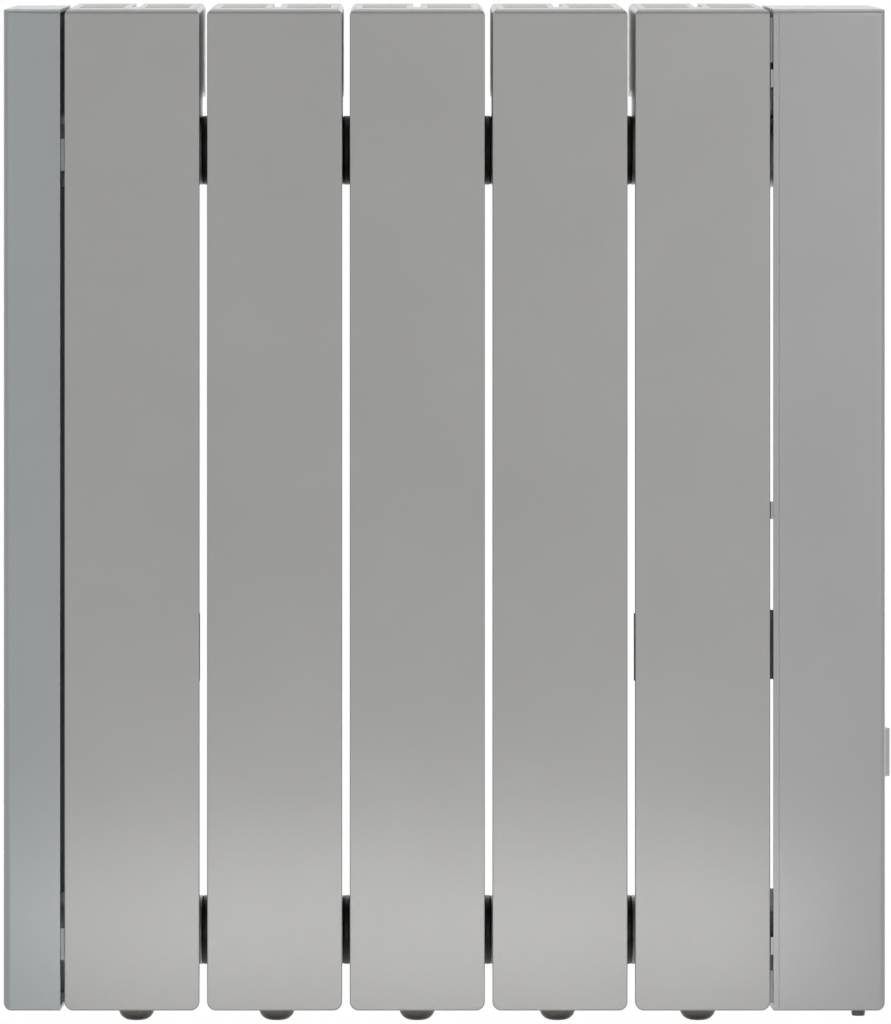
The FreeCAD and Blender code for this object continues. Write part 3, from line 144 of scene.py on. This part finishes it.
def silver_paint(name, colour):
    """Stoved metallic paint: flakes that catch the light unevenly, under a trace of orange peel."""
    material = surface(
        name,
        colour,
        spread=0.02,
        mottle=14.0,
        grain=PEEL_SCALE,
        depth=PEEL_DEPTH,
        metallic=0.5,
    )
    tree = material.node_tree
    shader = tree.nodes["Principled BSDF"]
    peel = shader.inputs["Normal"].links[0].from_socket
    place = tree.nodes.new("ShaderNodeTexCoord")
    flakes = tree.nodes.new("ShaderNodeTexVoronoi")
    flakes.inputs["Scale"].default_value = FLAKE_SCALE
    tree.links.new(place.outputs["Object"], flakes.inputs["Vector"])
    tree.links.new(between(tree, flakes.outputs["Color"], *FLAKE_ROUGH), shader.inputs["Roughness"])
    tree.links.new(bumped(tree, flakes.outputs["Distance"], FLAKE_DEPTH, peel), shader.inputs["Normal"])
    return material


def painted(mesh, material):
    """Gives a mesh one finish all over."""
    mesh.materials.clear()
    mesh.materials.append(material)


def dress(name, material):
    """Gives a node of the frame its finish."""
    node = nodes[name]
    painted(node.data, material)
    return node


EDGE_ANGLE = math.radians(35)
EDGE_STEPS = 2
FLATNESS = 100
WELD_REACH = 0.00001
FLAT_ANGLE = math.radians(0.5)


def edged(piece, width, steps=EDGE_STEPS):
    """Rounds a piece's sharp edges over a width."""
    edge = piece.modifiers.new("rounded_edges", "BEVEL")
    edge.width = width
    edge.segments = steps
    edge.limit_method = "ANGLE"
    edge.angle_limit = EDGE_ANGLE
    piece.data.shade_smooth()
    flatness = piece.modifiers.new("flat_shading", "WEIGHTED_NORMAL")
    flatness.weight = FLATNESS


def softened(node, width, steps=EDGE_STEPS):
    """Breaks a node's sharp edges, as grinding or moulding leaves them."""
    weld = node.modifiers.new("weld", "WELD")
    weld.merge_threshold = WELD_REACH
    flat = node.modifiers.new("flat_faces", "DECIMATE")
    flat.decimate_type = "DISSOLVE"
    flat.angle_limit = FLAT_ANGLE
    edged(node, width, steps)


SECTION_COUNT = 5
SECTION_EDGE = 0.0005
section_silver = silver_paint("section_silver", (0.372, 0.368, 0.360))
for number in range(1, SECTION_COUNT + 1):
    softened(dress("section_%d" % number, section_silver), SECTION_EDGE)


# Header rings: black rubber rings that are squeezed between the hubs of two sections, so that they
# bulge a little at the rim. They are moulded, with a satin skin. The seals at the header ends are of
# the same rubber.
rubber = surface(
    "black_rubber",
    (0.008, 0.008, 0.008),
    spread=0.25,
    mottle=90.0,
    grain=1500.0,
    depth=0.00003,
    rough=(0.38, 0.50),
)
SPIN_STEPS = 72
MERGE_REACH = 0.000001
SHARP_ANGLE = math.radians(40)


def spun(name, profile, closed=False, steps=SPIN_STEPS):
    """A mesh turned about its Z axis from a profile of radius and height."""
    shape = bmesh.new()
    corners = [shape.verts.new((radius, 0.0, height)) for radius, height in profile]
    following = corners[1:] + corners[:1] if closed else corners[1:]
    edges = [shape.edges.new(pair) for pair in zip(corners, following)]
    bmesh.ops.spin(
        shape,
        geom=corners + edges,
        axis=(0.0, 0.0, 1.0),
        cent=(0.0, 0.0, 0.0),
        angle=2 * math.pi,
        steps=steps,
    )
    bmesh.ops.remove_doubles(shape, verts=shape.verts, dist=MERGE_REACH)
    bmesh.ops.recalc_face_normals(shape, faces=shape.faces)
    mesh = bpy.data.meshes.new(name)
    shape.to_mesh(mesh)
    shape.free()
    return mesh


def smoothed(mesh):
    """Shades a mesh as round, apart from its sharp edges."""
    mesh.shade_smooth()
    mesh.set_sharp_from_angle(angle=SHARP_ANGLE)
    return mesh


def fitted(name, mesh, centre, along, material, slot, body, *stands_for):
    """Puts a mesh in the scene with its Z axis along a direction, in place of nodes of the frame."""
    piece = bpy.data.objects.new(name, mesh)
    bpy.context.scene.collection.objects.link(piece)
    turn = Vector(along).to_track_quat("Z", "Y").to_matrix().to_4x4()
    piece.matrix_world = Matrix.Translation(centre) @ turn
    painted(mesh, material)
    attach(piece, body)
    if stands_for:
        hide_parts(*stands_for)
    return piece


def middle(name):
    """The middle of a node's box."""
    low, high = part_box(name)
    return (low + high) / 2


ACROSS = (1, 0, 0)
RING_BORE = 0.0152
RING_BULGE = 0.0006
BULGE_POWER = 4
RING_POINTS = 9
RING_STEPS = 96
ring_low, ring_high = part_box("upper_gasket_1")
ring_length = ring_high.x - ring_low.x
ring_radius = (ring_high.z - ring_low.z) / 2
ring_profile = [(RING_BORE, -ring_length / 2)]
for number in range(RING_POINTS):
    share = 2 * number / (RING_POINTS - 1) - 1
    ring_profile.append((ring_radius - RING_BULGE * share ** BULGE_POWER, share * ring_length / 2))
ring_profile.append((RING_BORE, ring_length / 2))
ring_mesh = smoothed(spun("header_ring", ring_profile, closed=True, steps=RING_STEPS))
for level in ("upper", "lower"):
    for number in range(1, SECTION_COUNT):
        name = "%s_gasket_%d" % (level, number)
        fitted(
            "%s_ring_%d" % (level, number),
            ring_mesh,
            middle(name),
            ACROSS,
            rubber,
            "black_rubber",
            "radiator",
            name,
        )

SEAL_EDGE = 0.0003
for name in ("left_upper_seal", "left_lower_seal", "right_upper_seal", "heater_seal"):
    softened(dress(name, rubber), SEAL_EDGE)


# Header steel: threaded nipples pull the sections together, and plugs close the header ends. They are
# turned or cold-formed in steel and bright zinc plated, with a faint turning grain.
STEEL_EDGE = 0.0003
zinc = surface(
    "zinc_plate",
    (0.54, 0.54, 0.525),
    spread=0.08,
    mottle=160.0,
    grain=1100.0,
    depth=0.00002,
    rough=(0.26, 0.42),
    metallic=1.0,
)
for name in (
    "upper_nipples",
    "lower_nipples",
    "left_upper_plug",
    "left_lower_plug",
    "right_upper_plug",
    "right_upper_nut",
):
    softened(dress(name, zinc), STEEL_EDGE)


# Channel plugs: bowl-ended steel plugs screwed into the foot of each channel, with a hexagon socket
# underneath. They are lacquered dark brown, and a painted shade darkens them towards the foot.
# Painted shade: the plugs' colour darkens to near black towards their foot.
PLUG_SHADE_COLOUR = (0.022, 0.020, 0.016)
PLUG_SEAT_COLOUR = (0.285, 0.265, 0.228)
PLUG_SHADE_FULL = 0.0015
PLUG_SHADE_END = 0.0085
plug_lacquer_and_shade = surface(
    "plug_lacquer_and_shade",
    PLUG_SEAT_COLOUR,
    spread=0.12,
    mottle=90.0,
    grain=700.0,
    depth=0.00003,
    rough=(0.24, 0.34),
    metallic=0.6,
)


def graded(material, axis, start, end, colour):
    """Lays another colour over a finish, whole before one place along an axis and gone after another."""
    tree = material.node_tree
    shader = tree.nodes["Principled BSDF"]
    tone = shader.inputs["Base Color"].links[0].from_socket
    place = tree.nodes.new("ShaderNodeTexCoord")
    axes = tree.nodes.new("ShaderNodeSeparateXYZ")
    run = tree.nodes.new("ShaderNodeMapRange")
    run.inputs["From Min"].default_value = start
    run.inputs["From Max"].default_value = end
    coat = tree.nodes.new("ShaderNodeMix")
    coat.data_type = "RGBA"
    coat.inputs["A"].default_value = (*colour, 1.0)
    tree.links.new(place.outputs["Object"], axes.inputs["Vector"])
    tree.links.new(axes.outputs[axis], run.inputs["Value"])
    tree.links.new(run.outputs["Result"], coat.inputs["Factor"])
    tree.links.new(tone, coat.inputs["B"])
    tree.links.new(coat.outputs["Result"], shader.inputs["Base Color"])


# Painted shade: near black at the foot, fading out towards the seat.
graded(plug_lacquer_and_shade, "Z", PLUG_SHADE_FULL, PLUG_SHADE_END, PLUG_SHADE_COLOUR)


def prism(name, sides, radius, low, high, turn=0.0):
    """An upright prism between two heights."""
    shape = bmesh.new()
    rims = []
    for height in (low, high):
        angles = [turn + 2 * math.pi * number / sides for number in range(sides)]
        rims.append([shape.verts.new((radius * math.cos(a), radius * math.sin(a), height)) for a in angles])
    shape.faces.new(reversed(rims[0]))
    shape.faces.new(rims[1])
    for number in range(sides):
        after = (number + 1) % sides
        shape.faces.new((rims[0][number], rims[0][after], rims[1][after], rims[1][number]))
    mesh = bpy.data.meshes.new(name)
    shape.to_mesh(mesh)
    shape.free()
    return mesh


def recessed(blank, *cutters):
    """The mesh that is left of a blank when the cutters are taken out of it."""
    piece = bpy.data.objects.new(blank.name, blank)
    tools = [bpy.data.objects.new(cutter.name, cutter) for cutter in cutters]
    for item in (piece, *tools):
        bpy.context.scene.collection.objects.link(item)
    for tool in tools:
        cutting = piece.modifiers.new(tool.name, "BOOLEAN")
        cutting.object = tool
        cutting.solver = "EXACT"
    bpy.context.view_layer.update()
    left = bpy.data.meshes.new_from_object(piece.evaluated_get(bpy.context.evaluated_depsgraph_get()))
    for item in (piece, *tools):
        bpy.data.objects.remove(item)
    return left


UPWARD = (0, 0, 1)
HEXAGON = 6
PLUG_SHANK_RADIUS = 0.00795
PLUG_SHANK = 0.012
PLUG_CURVE = 0.007
PLUG_SOCKET = 0.0046
PLUG_SOCKET_DEPTH = 0.004
BOWL_POINTS = 14
plug_low, plug_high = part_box("channel_plug_1")
plug_radius = (plug_high.x - plug_low.x) / 2
plug_height = plug_high.z - plug_low.z
plug_seat = plug_height - PLUG_SHANK
plug_profile = [(0.0, 0.0)]
for number in range(BOWL_POINTS + 1):
    angle = math.pi / 2 * number / BOWL_POINTS
    out = plug_radius - PLUG_CURVE + PLUG_CURVE * math.sin(angle)
    plug_profile.append((out, PLUG_CURVE * (1 - math.cos(angle))))
plug_profile.append((plug_radius, plug_seat))
plug_profile.append((PLUG_SHANK_RADIUS, plug_seat))
plug_profile.append((PLUG_SHANK_RADIUS, plug_height))
plug_profile.append((0.0, plug_height))
plug_blank = spun("channel_plug", plug_profile)
plug_socket = prism("plug_socket", HEXAGON, PLUG_SOCKET, -PLUG_SOCKET_DEPTH, PLUG_SOCKET_DEPTH)
plug_mesh = smoothed(recessed(plug_blank, plug_socket))
for number in range(1, SECTION_COUNT + 1):
    name = "channel_plug_%d" % number
    foot = middle(name)
    foot.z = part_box(name)[0].z
    fitted(
        "foot_plug_%d" % number,
        plug_mesh,
        foot,
        UPWARD,
        plug_lacquer_and_shade,
        "dark_plug",
        "radiator",
        name,
    )


# Left end cover: a thin moulding that hides the header ends, sprayed to go with the sections but a
# little bluer. Two cross-headed steel screws in counterbores hold it to the end plugs.
COVER_EDGE = 0.0004
cover_silver = silver_paint("cover_silver", (0.340, 0.360, 0.368))
softened(dress("left_end_cover", cover_silver), COVER_EDGE)

SQUARE = 4
HALF_DIAGONAL = math.sqrt(0.5)


def block(name, width, length, low, high):
    """An upright block between two heights, centred on the Z axis."""
    mesh = prism(name, SQUARE, HALF_DIAGONAL, low, high, math.pi / 4)
    mesh.transform(Matrix.Diagonal((width, length, 1.0, 1.0)))
    return mesh


HEAD_POINTS = 6
DOME_SHARE = 0.55
RECESS_SHARE = 0.7
SLOT_WIDTH = 0.16
SLOT_REACH = 0.62
SCREW_STEPS = 48


def cross_headed(name, head_radius, head_height, shank_radius, length):
    """A screw with a domed head and a cross recess, its head downwards from height 0."""
    profile = []
    for number in range(HEAD_POINTS + 1):
        angle = math.pi / 2 * number / HEAD_POINTS
        dome = head_height * DOME_SHARE * (1 - math.cos(angle))
        profile.append((head_radius * math.sin(angle), dome))
    profile.append((head_radius, head_height))
    profile.append((shank_radius, head_height))
    profile.append((shank_radius, length - shank_radius))
    profile.append((0.0, length))
    depth = RECESS_SHARE * head_height
    reach = 2 * SLOT_REACH * head_radius
    width = 2 * SLOT_WIDTH * head_radius
    level_blade = block(name + "_level_blade", reach, width, -depth, depth)
    upright_blade = block(name + "_upright_blade", width, reach, -depth, depth)
    return smoothed(recessed(spun(name, profile, steps=SCREW_STEPS), level_blade, upright_blade))


COVER_HEAD_RADIUS = 0.004
COVER_HEAD_HEIGHT = 0.0024
COVER_SHANK_RADIUS = 0.002
cover_low, cover_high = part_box("left_cover_screws")
cover_screw = cross_headed(
    "cover_screw",
    COVER_HEAD_RADIUS,
    COVER_HEAD_HEIGHT,
    COVER_SHANK_RADIUS,
    cover_high.x - cover_low.x,
)
for level in ("upper", "lower"):
    head = middle("left_%s_plug" % level)
    head.x = cover_low.x
    fitted(
        "left_%s_screw" % level,
        cover_screw,
        head,
        ACROSS,
        zinc,
        "zinc_steel",
        "radiator",
        "left_cover_screws",
    )


# Heating element: a stainless hairpin along the lower header with a hexagon head, held with its nut
# to the housing's frame. The sheath is drawn and annealed, so it is duller than the plated steel.
heater_steel = surface(
    "heater_steel",
    (0.31, 0.30, 0.28),
    spread=0.12,
    mottle=80.0,
    grain=900.0,
    depth=0.00003,
    rough=(0.36, 0.52),
    metallic=1.0,
    stretch=(0.08, 1.0, 1.0),
)
softened(dress("heating_element", heater_steel), STEEL_EDGE)
softened(dress("heater_nut", zinc), STEEL_EDGE)


# Housing frame: a bent steel plate, zinc plated, that closes the housing towards the last section
# and at the back. Its rolling grain runs upwards, and three cross-headed screws hold the cover to it.
frame_zinc = surface(
    "frame_zinc",
    (0.50, 0.50, 0.49),
    spread=0.07,
    mottle=40.0,
    grain=900.0,
    depth=0.00002,
    rough=(0.30, 0.46),
    metallic=1.0,
    stretch=(1.0, 1.0, 0.06),
)
softened(dress("housing_frame", frame_zinc), STEEL_EDGE)

FORWARD = (0, -1, 0)
REAR_SCREWS = 3
REAR_HEAD_RADIUS = 0.0035
REAR_HEAD_HEIGHT = 0.0022
REAR_SHANK_RADIUS = 0.00175
rear_low, rear_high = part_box("housing_screws")
rear_span = rear_high.z - rear_low.z - 2 * REAR_HEAD_RADIUS
rear_screw = cross_headed(
    "rear_screw",
    REAR_HEAD_RADIUS,
    REAR_HEAD_HEIGHT,
    REAR_SHANK_RADIUS,
    rear_high.y - rear_low.y,
)
for number in range(REAR_SCREWS):
    head = middle("housing_screws")
    head.y = rear_high.y
    head.z = rear_low.z + REAR_HEAD_RADIUS + number / (REAR_SCREWS - 1) * rear_span
    fitted(
        "rear_screw_%d" % (number + 1),
        rear_screw,
        head,
        FORWARD,
        zinc,
        "zinc_steel",
        "radiator",
        "housing_screws",
    )


# Control parts: a green glass-laminate board with a relay block and an extruded heat sink, a terminal
# block, the room air sensor and the overheat cut-out, all inside the housing.
CONTROL_EDGE = 0.0002
EXTRUDED = (1.0, 1.0, 0.05)
for name, colour, mottle, rough, metallic, stretch in (
    ("control_board", (0.012, 0.090, 0.035), 500.0, (0.28, 0.40), 0.0, EVEN),
    ("board_relay", (0.012, 0.012, 0.014), 120.0, (0.30, 0.42), 0.0, EVEN),
    ("heat_sink", (0.55, 0.55, 0.56), 90.0, (0.30, 0.46), 1.0, EXTRUDED),
    ("terminal_block", (0.68, 0.66, 0.60), 60.0, (0.42, 0.54), 0.0, EVEN),
    ("air_sensor", (0.015, 0.014, 0.014), 150.0, (0.22, 0.34), 0.0, EVEN),
    ("overheat_cutout", (0.060, 0.030, 0.020), 120.0, (0.30, 0.42), 0.0, EVEN),
):
    control_finish = surface(
        name + "_finish",
        colour,
        spread=0.08,
        mottle=mottle,
        grain=1000.0,
        depth=0.00003,
        rough=rough,
        metallic=metallic,
        stretch=stretch,
    )
    softened(dress(name, control_finish), CONTROL_EDGE)


# Leads: stranded wires in heat-proof insulation, drawn through a die so that the skin has a fine
# grain. They join the heater, the cut-out, the switch, the terminals and the sensor to the board.
for names, colour in (
    (("heater_leads", "cutout_leads"), (0.250, 0.020, 0.015)),
    (("supply_leads", "switch_leads"), (0.015, 0.030, 0.200)),
    (("sensor_lead",), (0.640, 0.640, 0.610)),
):
    insulation = surface(
        names[0] + "_insulation",
        colour,
        spread=0.07,
        mottle=140.0,
        grain=1400.0,
        depth=0.00003,
        rough=(0.42, 0.56),
    )
    for name in names:
        dress(name, insulation).data.shade_smooth()


# Cord gland: a moulded dark grey bush with a flange under the housing's floor, a ribbed and slightly
# tapered nozzle and a nut inside. Its bore is open for the cord.
gland_grey = surface(
    "gland_grey",
    (0.105, 0.104, 0.102),
    spread=0.12,
    mottle=120.0,
    grain=900.0,
    depth=0.00004,
    rough=(0.36, 0.48),
)
GLAND_EDGE = 0.0002
GLAND_BORE = 0.0032
GLAND_THREAD_RADIUS = 0.006
GLAND_THREAD = 0.009
GLAND_FLANGE = 0.0025
NOZZLE_ROOT = 0.00455
NOZZLE_END = 0.0038
RIB_DEPTH = 0.0003
RIB_COUNT = 3
gland_low, gland_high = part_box("cord_gland")
flange_radius = (gland_high.x - gland_low.x) / 2
gland_height = gland_high.z - gland_low.z
nozzle = gland_height - GLAND_THREAD - GLAND_FLANGE
gland_profile = [(GLAND_BORE, 0.0)]
for number in range(2 * RIB_COUNT + 1):
    share = number / (2 * RIB_COUNT)
    radius = NOZZLE_END + share * (NOZZLE_ROOT - NOZZLE_END) - RIB_DEPTH * (number % 2)
    gland_profile.append((radius, share * nozzle))
gland_profile.append((flange_radius, nozzle))
gland_profile.append((flange_radius, nozzle + GLAND_FLANGE))
gland_profile.append((GLAND_THREAD_RADIUS, nozzle + GLAND_FLANGE))
gland_profile.append((GLAND_THREAD_RADIUS, gland_height))
gland_profile.append((GLAND_BORE, gland_height))
gland_foot = middle("cord_gland")
gland_foot.z = gland_low.z
gland = fitted(
    "gland_bush",
    spun("gland_bush", gland_profile, closed=True),
    gland_foot,
    UPWARD,
    gland_grey,
    "gland_plastic",
    "radiator",
    "cord_gland",
)
edged(gland, GLAND_EDGE)
softened(dress("gland_nut", gland_grey), GLAND_EDGE)


# Switch: a moulded body that snaps into the housing's side, its rim grey and its flange painted nearly
# white as a painted highlight, and a black glossy rocker that tips on a pin. The marks for on and off
# are white, moulded into the rocker's two faces.
switch_grey = surface(
    "switch_grey",
    (0.67, 0.67, 0.665),
    spread=0.04,
    mottle=70.0,
    grain=1200.0,
    depth=0.00002,
    rough=(0.34, 0.44),
)
rocker_black = surface(
    "rocker_black",
    (0.016, 0.016, 0.017),
    spread=0.10,
    mottle=90.0,
    grain=1000.0,
    depth=0.00001,
    rough=(0.22, 0.32),
)
mark_white = surface(
    "mark_white",
    (0.70, 0.70, 0.69),
    spread=0.03,
    mottle=200.0,
    grain=1500.0,
    depth=0.00001,
    rough=(0.40, 0.50),
)
RIM_RISE = 0.00235
RIM_STEP = 0.0001
FLANGE_HIGHLIGHT_COLOUR = (0.91, 0.91, 0.90)
flange_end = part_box("switch_body")[1].x - RIM_RISE
# Painted highlight: the flange is coloured nearly white, lighter than the grey rim.
graded(switch_grey, "X", flange_end - RIM_STEP, flange_end + RIM_STEP, FLANGE_HIGHLIGHT_COLOUR)

ROUND_STEPS = 3
SWITCH_EDGE = 0.0003
ROCKER_EDGE = 0.0004
softened(dress("switch_body", switch_grey), SWITCH_EDGE, ROUND_STEPS)
softened(dress("rocker", rocker_black), ROCKER_EDGE, ROUND_STEPS)

REST_TILT = math.radians(7)
FACE_MIDDLE = 0.0040
FACE_RISE = 0.0012
FACE_LENGTH = 0.0103
MARK_PLACE = 0.0056
MARK_DEPTH = 0.0002
MARK_PROUD = 0.00008
MARK_STEPS = 48
BAR_LENGTH = 0.0040
BAR_WIDTH = 0.0006
OFF_INNER = 0.0015
OFF_OUTER = 0.0021
face_slope = math.atan2(FACE_RISE, FACE_LENGTH)
pivots = {joint["name"]: Vector(joint["pos_m"]) for joint in frame["joints"] if "pos_m" in joint}
on_bar = block("on_bar", BAR_LENGTH, BAR_WIDTH, -MARK_DEPTH, MARK_PROUD)
off_profile = [
    (OFF_INNER, -MARK_DEPTH),
    (OFF_OUTER, -MARK_DEPTH),
    (OFF_OUTER, MARK_PROUD),
    (OFF_INNER, MARK_PROUD),
]
off_ring = spun("off_ring", off_profile, closed=True, steps=MARK_STEPS)
tilt = Matrix.Rotation(REST_TILT, 3, "Y")
for name, mesh, side in (("on_mark", on_bar, 1), ("off_mark", off_ring, -1)):
    on_face = Vector((FACE_MIDDLE + FACE_RISE * MARK_PLACE / FACE_LENGTH, 0.0, side * MARK_PLACE))
    outward = Vector((math.cos(face_slope), 0.0, -side * math.sin(face_slope)))
    fitted(
        name,
        mesh,
        pivots["rocker_tilt"] + tilt @ on_face,
        tilt @ outward,
        mark_white,
        "rocker_plastic",
        "rocker",
    )


# Housing cover: a deep moulding that holds the electrical parts, sprayed in nearly the same silver as
# the sections, with a fine line down its front. It is screwed to the frame from behind.
housing_silver = silver_paint("housing_silver", (0.379, 0.373, 0.377))
softened(dress("housing_cover", housing_silver), COVER_EDGE)


# Wall brackets: bent steel strips in light grey powder paint, each with a hole for a wall screw and
# a hook that a black plastic liner covers, so that the radiator hangs quietly.
bracket_paint = surface(
    "bracket_paint",
    (0.50, 0.50, 0.49),
    spread=0.03,
    mottle=60.0,
    grain=650.0,
    depth=0.00006,
    rough=(0.42, 0.52),
)
liner_black = surface(
    "liner_black",
    (0.018, 0.018, 0.018),
    spread=0.12,
    mottle=80.0,
    grain=1100.0,
    depth=0.00004,
    rough=(0.45, 0.58),
)
BRACKET_EDGE = 0.0006
LINER_EDGE = 0.0002
for level in ("upper", "lower"):
    for side in ("left", "right"):
        softened(dress("%s_%s_bracket" % (level, side), bracket_paint), BRACKET_EDGE, ROUND_STEPS)
        softened(dress("%s_%s_liner" % (level, side), liner_black), LINER_EDGE)


# Studio floor: a pale round floor some way under the radiator. It takes the shadow near the middle
# and fades to the white of the surroundings further out.
FLOOR_DROP = 0.15
FLOOR_RADIUS = 6.0
FLOOR_CORNERS = 128
FADE_START = 0.45
FADE_END = 0.95
WHITE = (1.0, 1.0, 1.0, 1.0)
lowest = cad_box[0][2]
bpy.ops.mesh.primitive_circle_add(
    vertices=FLOOR_CORNERS,
    radius=FLOOR_RADIUS,
    fill_type="NGON",
    location=(0, 0, lowest - FLOOR_DROP),
)
floor = bpy.context.object
floor.name = "studio_floor"
floor_pale = surface(
    "floor_pale",
    (0.82, 0.82, 0.81),
    spread=0.01,
    mottle=3.0,
    grain=200.0,
    depth=0.00005,
    rough=(0.55, 0.65),
)
painted(floor.data, floor_pale)


def seen(tree):
    """One for rays from the eye and for mirrored or passed ones, nought for spread light."""
    path = tree.nodes.new("ShaderNodeLightPath")
    total = path.outputs["Is Camera Ray"]
    for kind in ("Is Glossy Ray", "Is Transmission Ray"):
        joined = tree.nodes.new("ShaderNodeMath")
        joined.operation = "MAXIMUM"
        tree.links.new(total, joined.inputs[0])
        tree.links.new(path.outputs[kind], joined.inputs[1])
        total = joined.outputs["Value"]
    return total


floor_tree = floor_pale.node_tree
spot = floor_tree.nodes.new("ShaderNodeTexCoord")
distance = floor_tree.nodes.new("ShaderNodeVectorMath")
distance.operation = "LENGTH"
fade = floor_tree.nodes.new("ShaderNodeMapRange")
fade.interpolation_type = "SMOOTHSTEP"
fade.inputs["From Min"].default_value = FADE_START
fade.inputs["From Max"].default_value = FADE_END
only_seen = floor_tree.nodes.new("ShaderNodeMath")
only_seen.operation = "MULTIPLY"
white = floor_tree.nodes.new("ShaderNodeEmission")
white.inputs["Color"].default_value = WHITE
blend = floor_tree.nodes.new("ShaderNodeMixShader")
floor_tree.links.new(spot.outputs["Object"], distance.inputs[0])
floor_tree.links.new(distance.outputs["Value"], fade.inputs["Value"])
floor_tree.links.new(fade.outputs["Result"], only_seen.inputs[0])
floor_tree.links.new(seen(floor_tree), only_seen.inputs[1])
floor_tree.links.new(only_seen.outputs["Value"], blend.inputs["Fac"])
floor_tree.links.new(floor_tree.nodes["Principled BSDF"].outputs["BSDF"], blend.inputs[1])
floor_tree.links.new(white.outputs["Emission"], blend.inputs[2])
floor_tree.links.new(blend.outputs["Shader"], floor_tree.nodes["Material Output"].inputs["Surface"])


# Surroundings: a white room whose ceiling is darker than its walls. The eye sees plain white, gloss
# sees the room, and the spread light from it is kept at a plain level.
AMBIENT = 0.45
CEILING = 0.42
WALL_TOP = 0.10
CEILING_EDGE = 0.75
world = bpy.data.worlds.new("studio")
bpy.context.scene.world = world
world.use_nodes = True
room = world.node_tree
way = room.nodes.new("ShaderNodeTexCoord")
parts = room.nodes.new("ShaderNodeSeparateXYZ")
dimming = room.nodes.new("ShaderNodeMapRange")
dimming.inputs["From Min"].default_value = WALL_TOP
dimming.inputs["From Max"].default_value = CEILING_EDGE
dimming.inputs["To Min"].default_value = 1.0
dimming.inputs["To Max"].default_value = CEILING
room.links.new(way.outputs["Generated"], parts.inputs["Vector"])
room.links.new(parts.outputs["Z"], dimming.inputs["Value"])
spread_light = room.nodes["Background"]
spread_light.inputs["Strength"].default_value = AMBIENT
glossy_room = room.nodes.new("ShaderNodeBackground")
plain_white = room.nodes.new("ShaderNodeBackground")
plain_white.inputs["Color"].default_value = WHITE
for light in (spread_light, glossy_room):
    room.links.new(dimming.outputs["Result"], light.inputs["Color"])
rays = room.nodes.new("ShaderNodeLightPath")
with_gloss = room.nodes.new("ShaderNodeMixShader")
with_eye = room.nodes.new("ShaderNodeMixShader")
room.links.new(seen(room), with_gloss.inputs["Fac"])
room.links.new(spread_light.outputs["Background"], with_gloss.inputs[1])
room.links.new(glossy_room.outputs["Background"], with_gloss.inputs[2])
room.links.new(rays.outputs["Is Camera Ray"], with_eye.inputs["Fac"])
room.links.new(with_gloss.outputs["Shader"], with_eye.inputs[1])
room.links.new(plain_white.outputs["Background"], with_eye.inputs[2])
room.links.new(with_eye.outputs["Shader"], room.nodes["World Output"].inputs["Surface"])


# Lamps: wide softboxes to the right and left in front, above and behind, and a strip close to the
# feet that stands for the light that a white table throws up.
def softbox(name, place, aim, width, height, power):
    """A soft lamp that faces a point and stays out of sight."""
    lamp = bpy.data.lights.new(name, "AREA")
    lamp.shape = "RECTANGLE"
    lamp.size = width
    lamp.size_y = height
    lamp.energy = power
    holder = bpy.data.objects.new(name, lamp)
    bpy.context.scene.collection.objects.link(holder)
    holder.location = place
    holder.rotation_euler = (Vector(aim) - Vector(place)).to_track_quat("-Z", "Y").to_euler()
    holder.visible_camera = False


softbox(
    "right_light",
    place=(1.1, -2.2, 0.7),
    aim=(0.0, -0.1, 0.0),
    width=1.4,
    height=1.4,
    power=9.0,
)
softbox(
    "left_light",
    place=(-1.1, -2.2, 0.7),
    aim=(0.0, -0.1, 0.0),
    width=1.4,
    height=1.4,
    power=4.4,
)
softbox(
    "top_light",
    place=(0.0, 0.25, 1.5),
    aim=(0.0, -0.05, 0.2),
    width=1.6,
    height=1.0,
    power=8.0,
)
softbox(
    "back_light",
    place=(0.0, 1.5, 0.2),
    aim=(0.0, 0.0, 0.0),
    width=5.0,
    height=2.6,
    power=45.0,
)
softbox(
    "low_light",
    place=(0.0, -0.33, lowest + 0.035),
    aim=(0.0, -0.1, lowest + 0.055),
    width=0.5,
    height=0.06,
    power=0.23,
)


# Camera: level with the radiator's middle, a little left of its centre and far back. A small shift
# to the side brings the whole radiator, with its switch, into the frame.
VIEW_DISTANCE = 2.4
FRAME_HEIGHT = 0.5739
FRAME_CENTRE = (0.0158, -0.0435)
EYE_X = -0.0068
SENSOR = 24.0
front = cad_box[0][1]
camera = bpy.data.cameras.new("camera")
camera.sensor_fit = "VERTICAL"
camera.sensor_height = SENSOR
camera.lens = SENSOR * VIEW_DISTANCE / FRAME_HEIGHT
camera.shift_x = (FRAME_CENTRE[0] - EYE_X) / FRAME_HEIGHT
eye = bpy.data.objects.new("camera", camera)
bpy.context.scene.collection.objects.link(eye)
eye.location = (EYE_X, front - VIEW_DISTANCE, FRAME_CENTRE[1])
eye.rotation_euler = (math.radians(90), 0, 0)
bpy.context.scene.camera = eye
bpy.context.scene.view_settings.view_transform = "Standard"
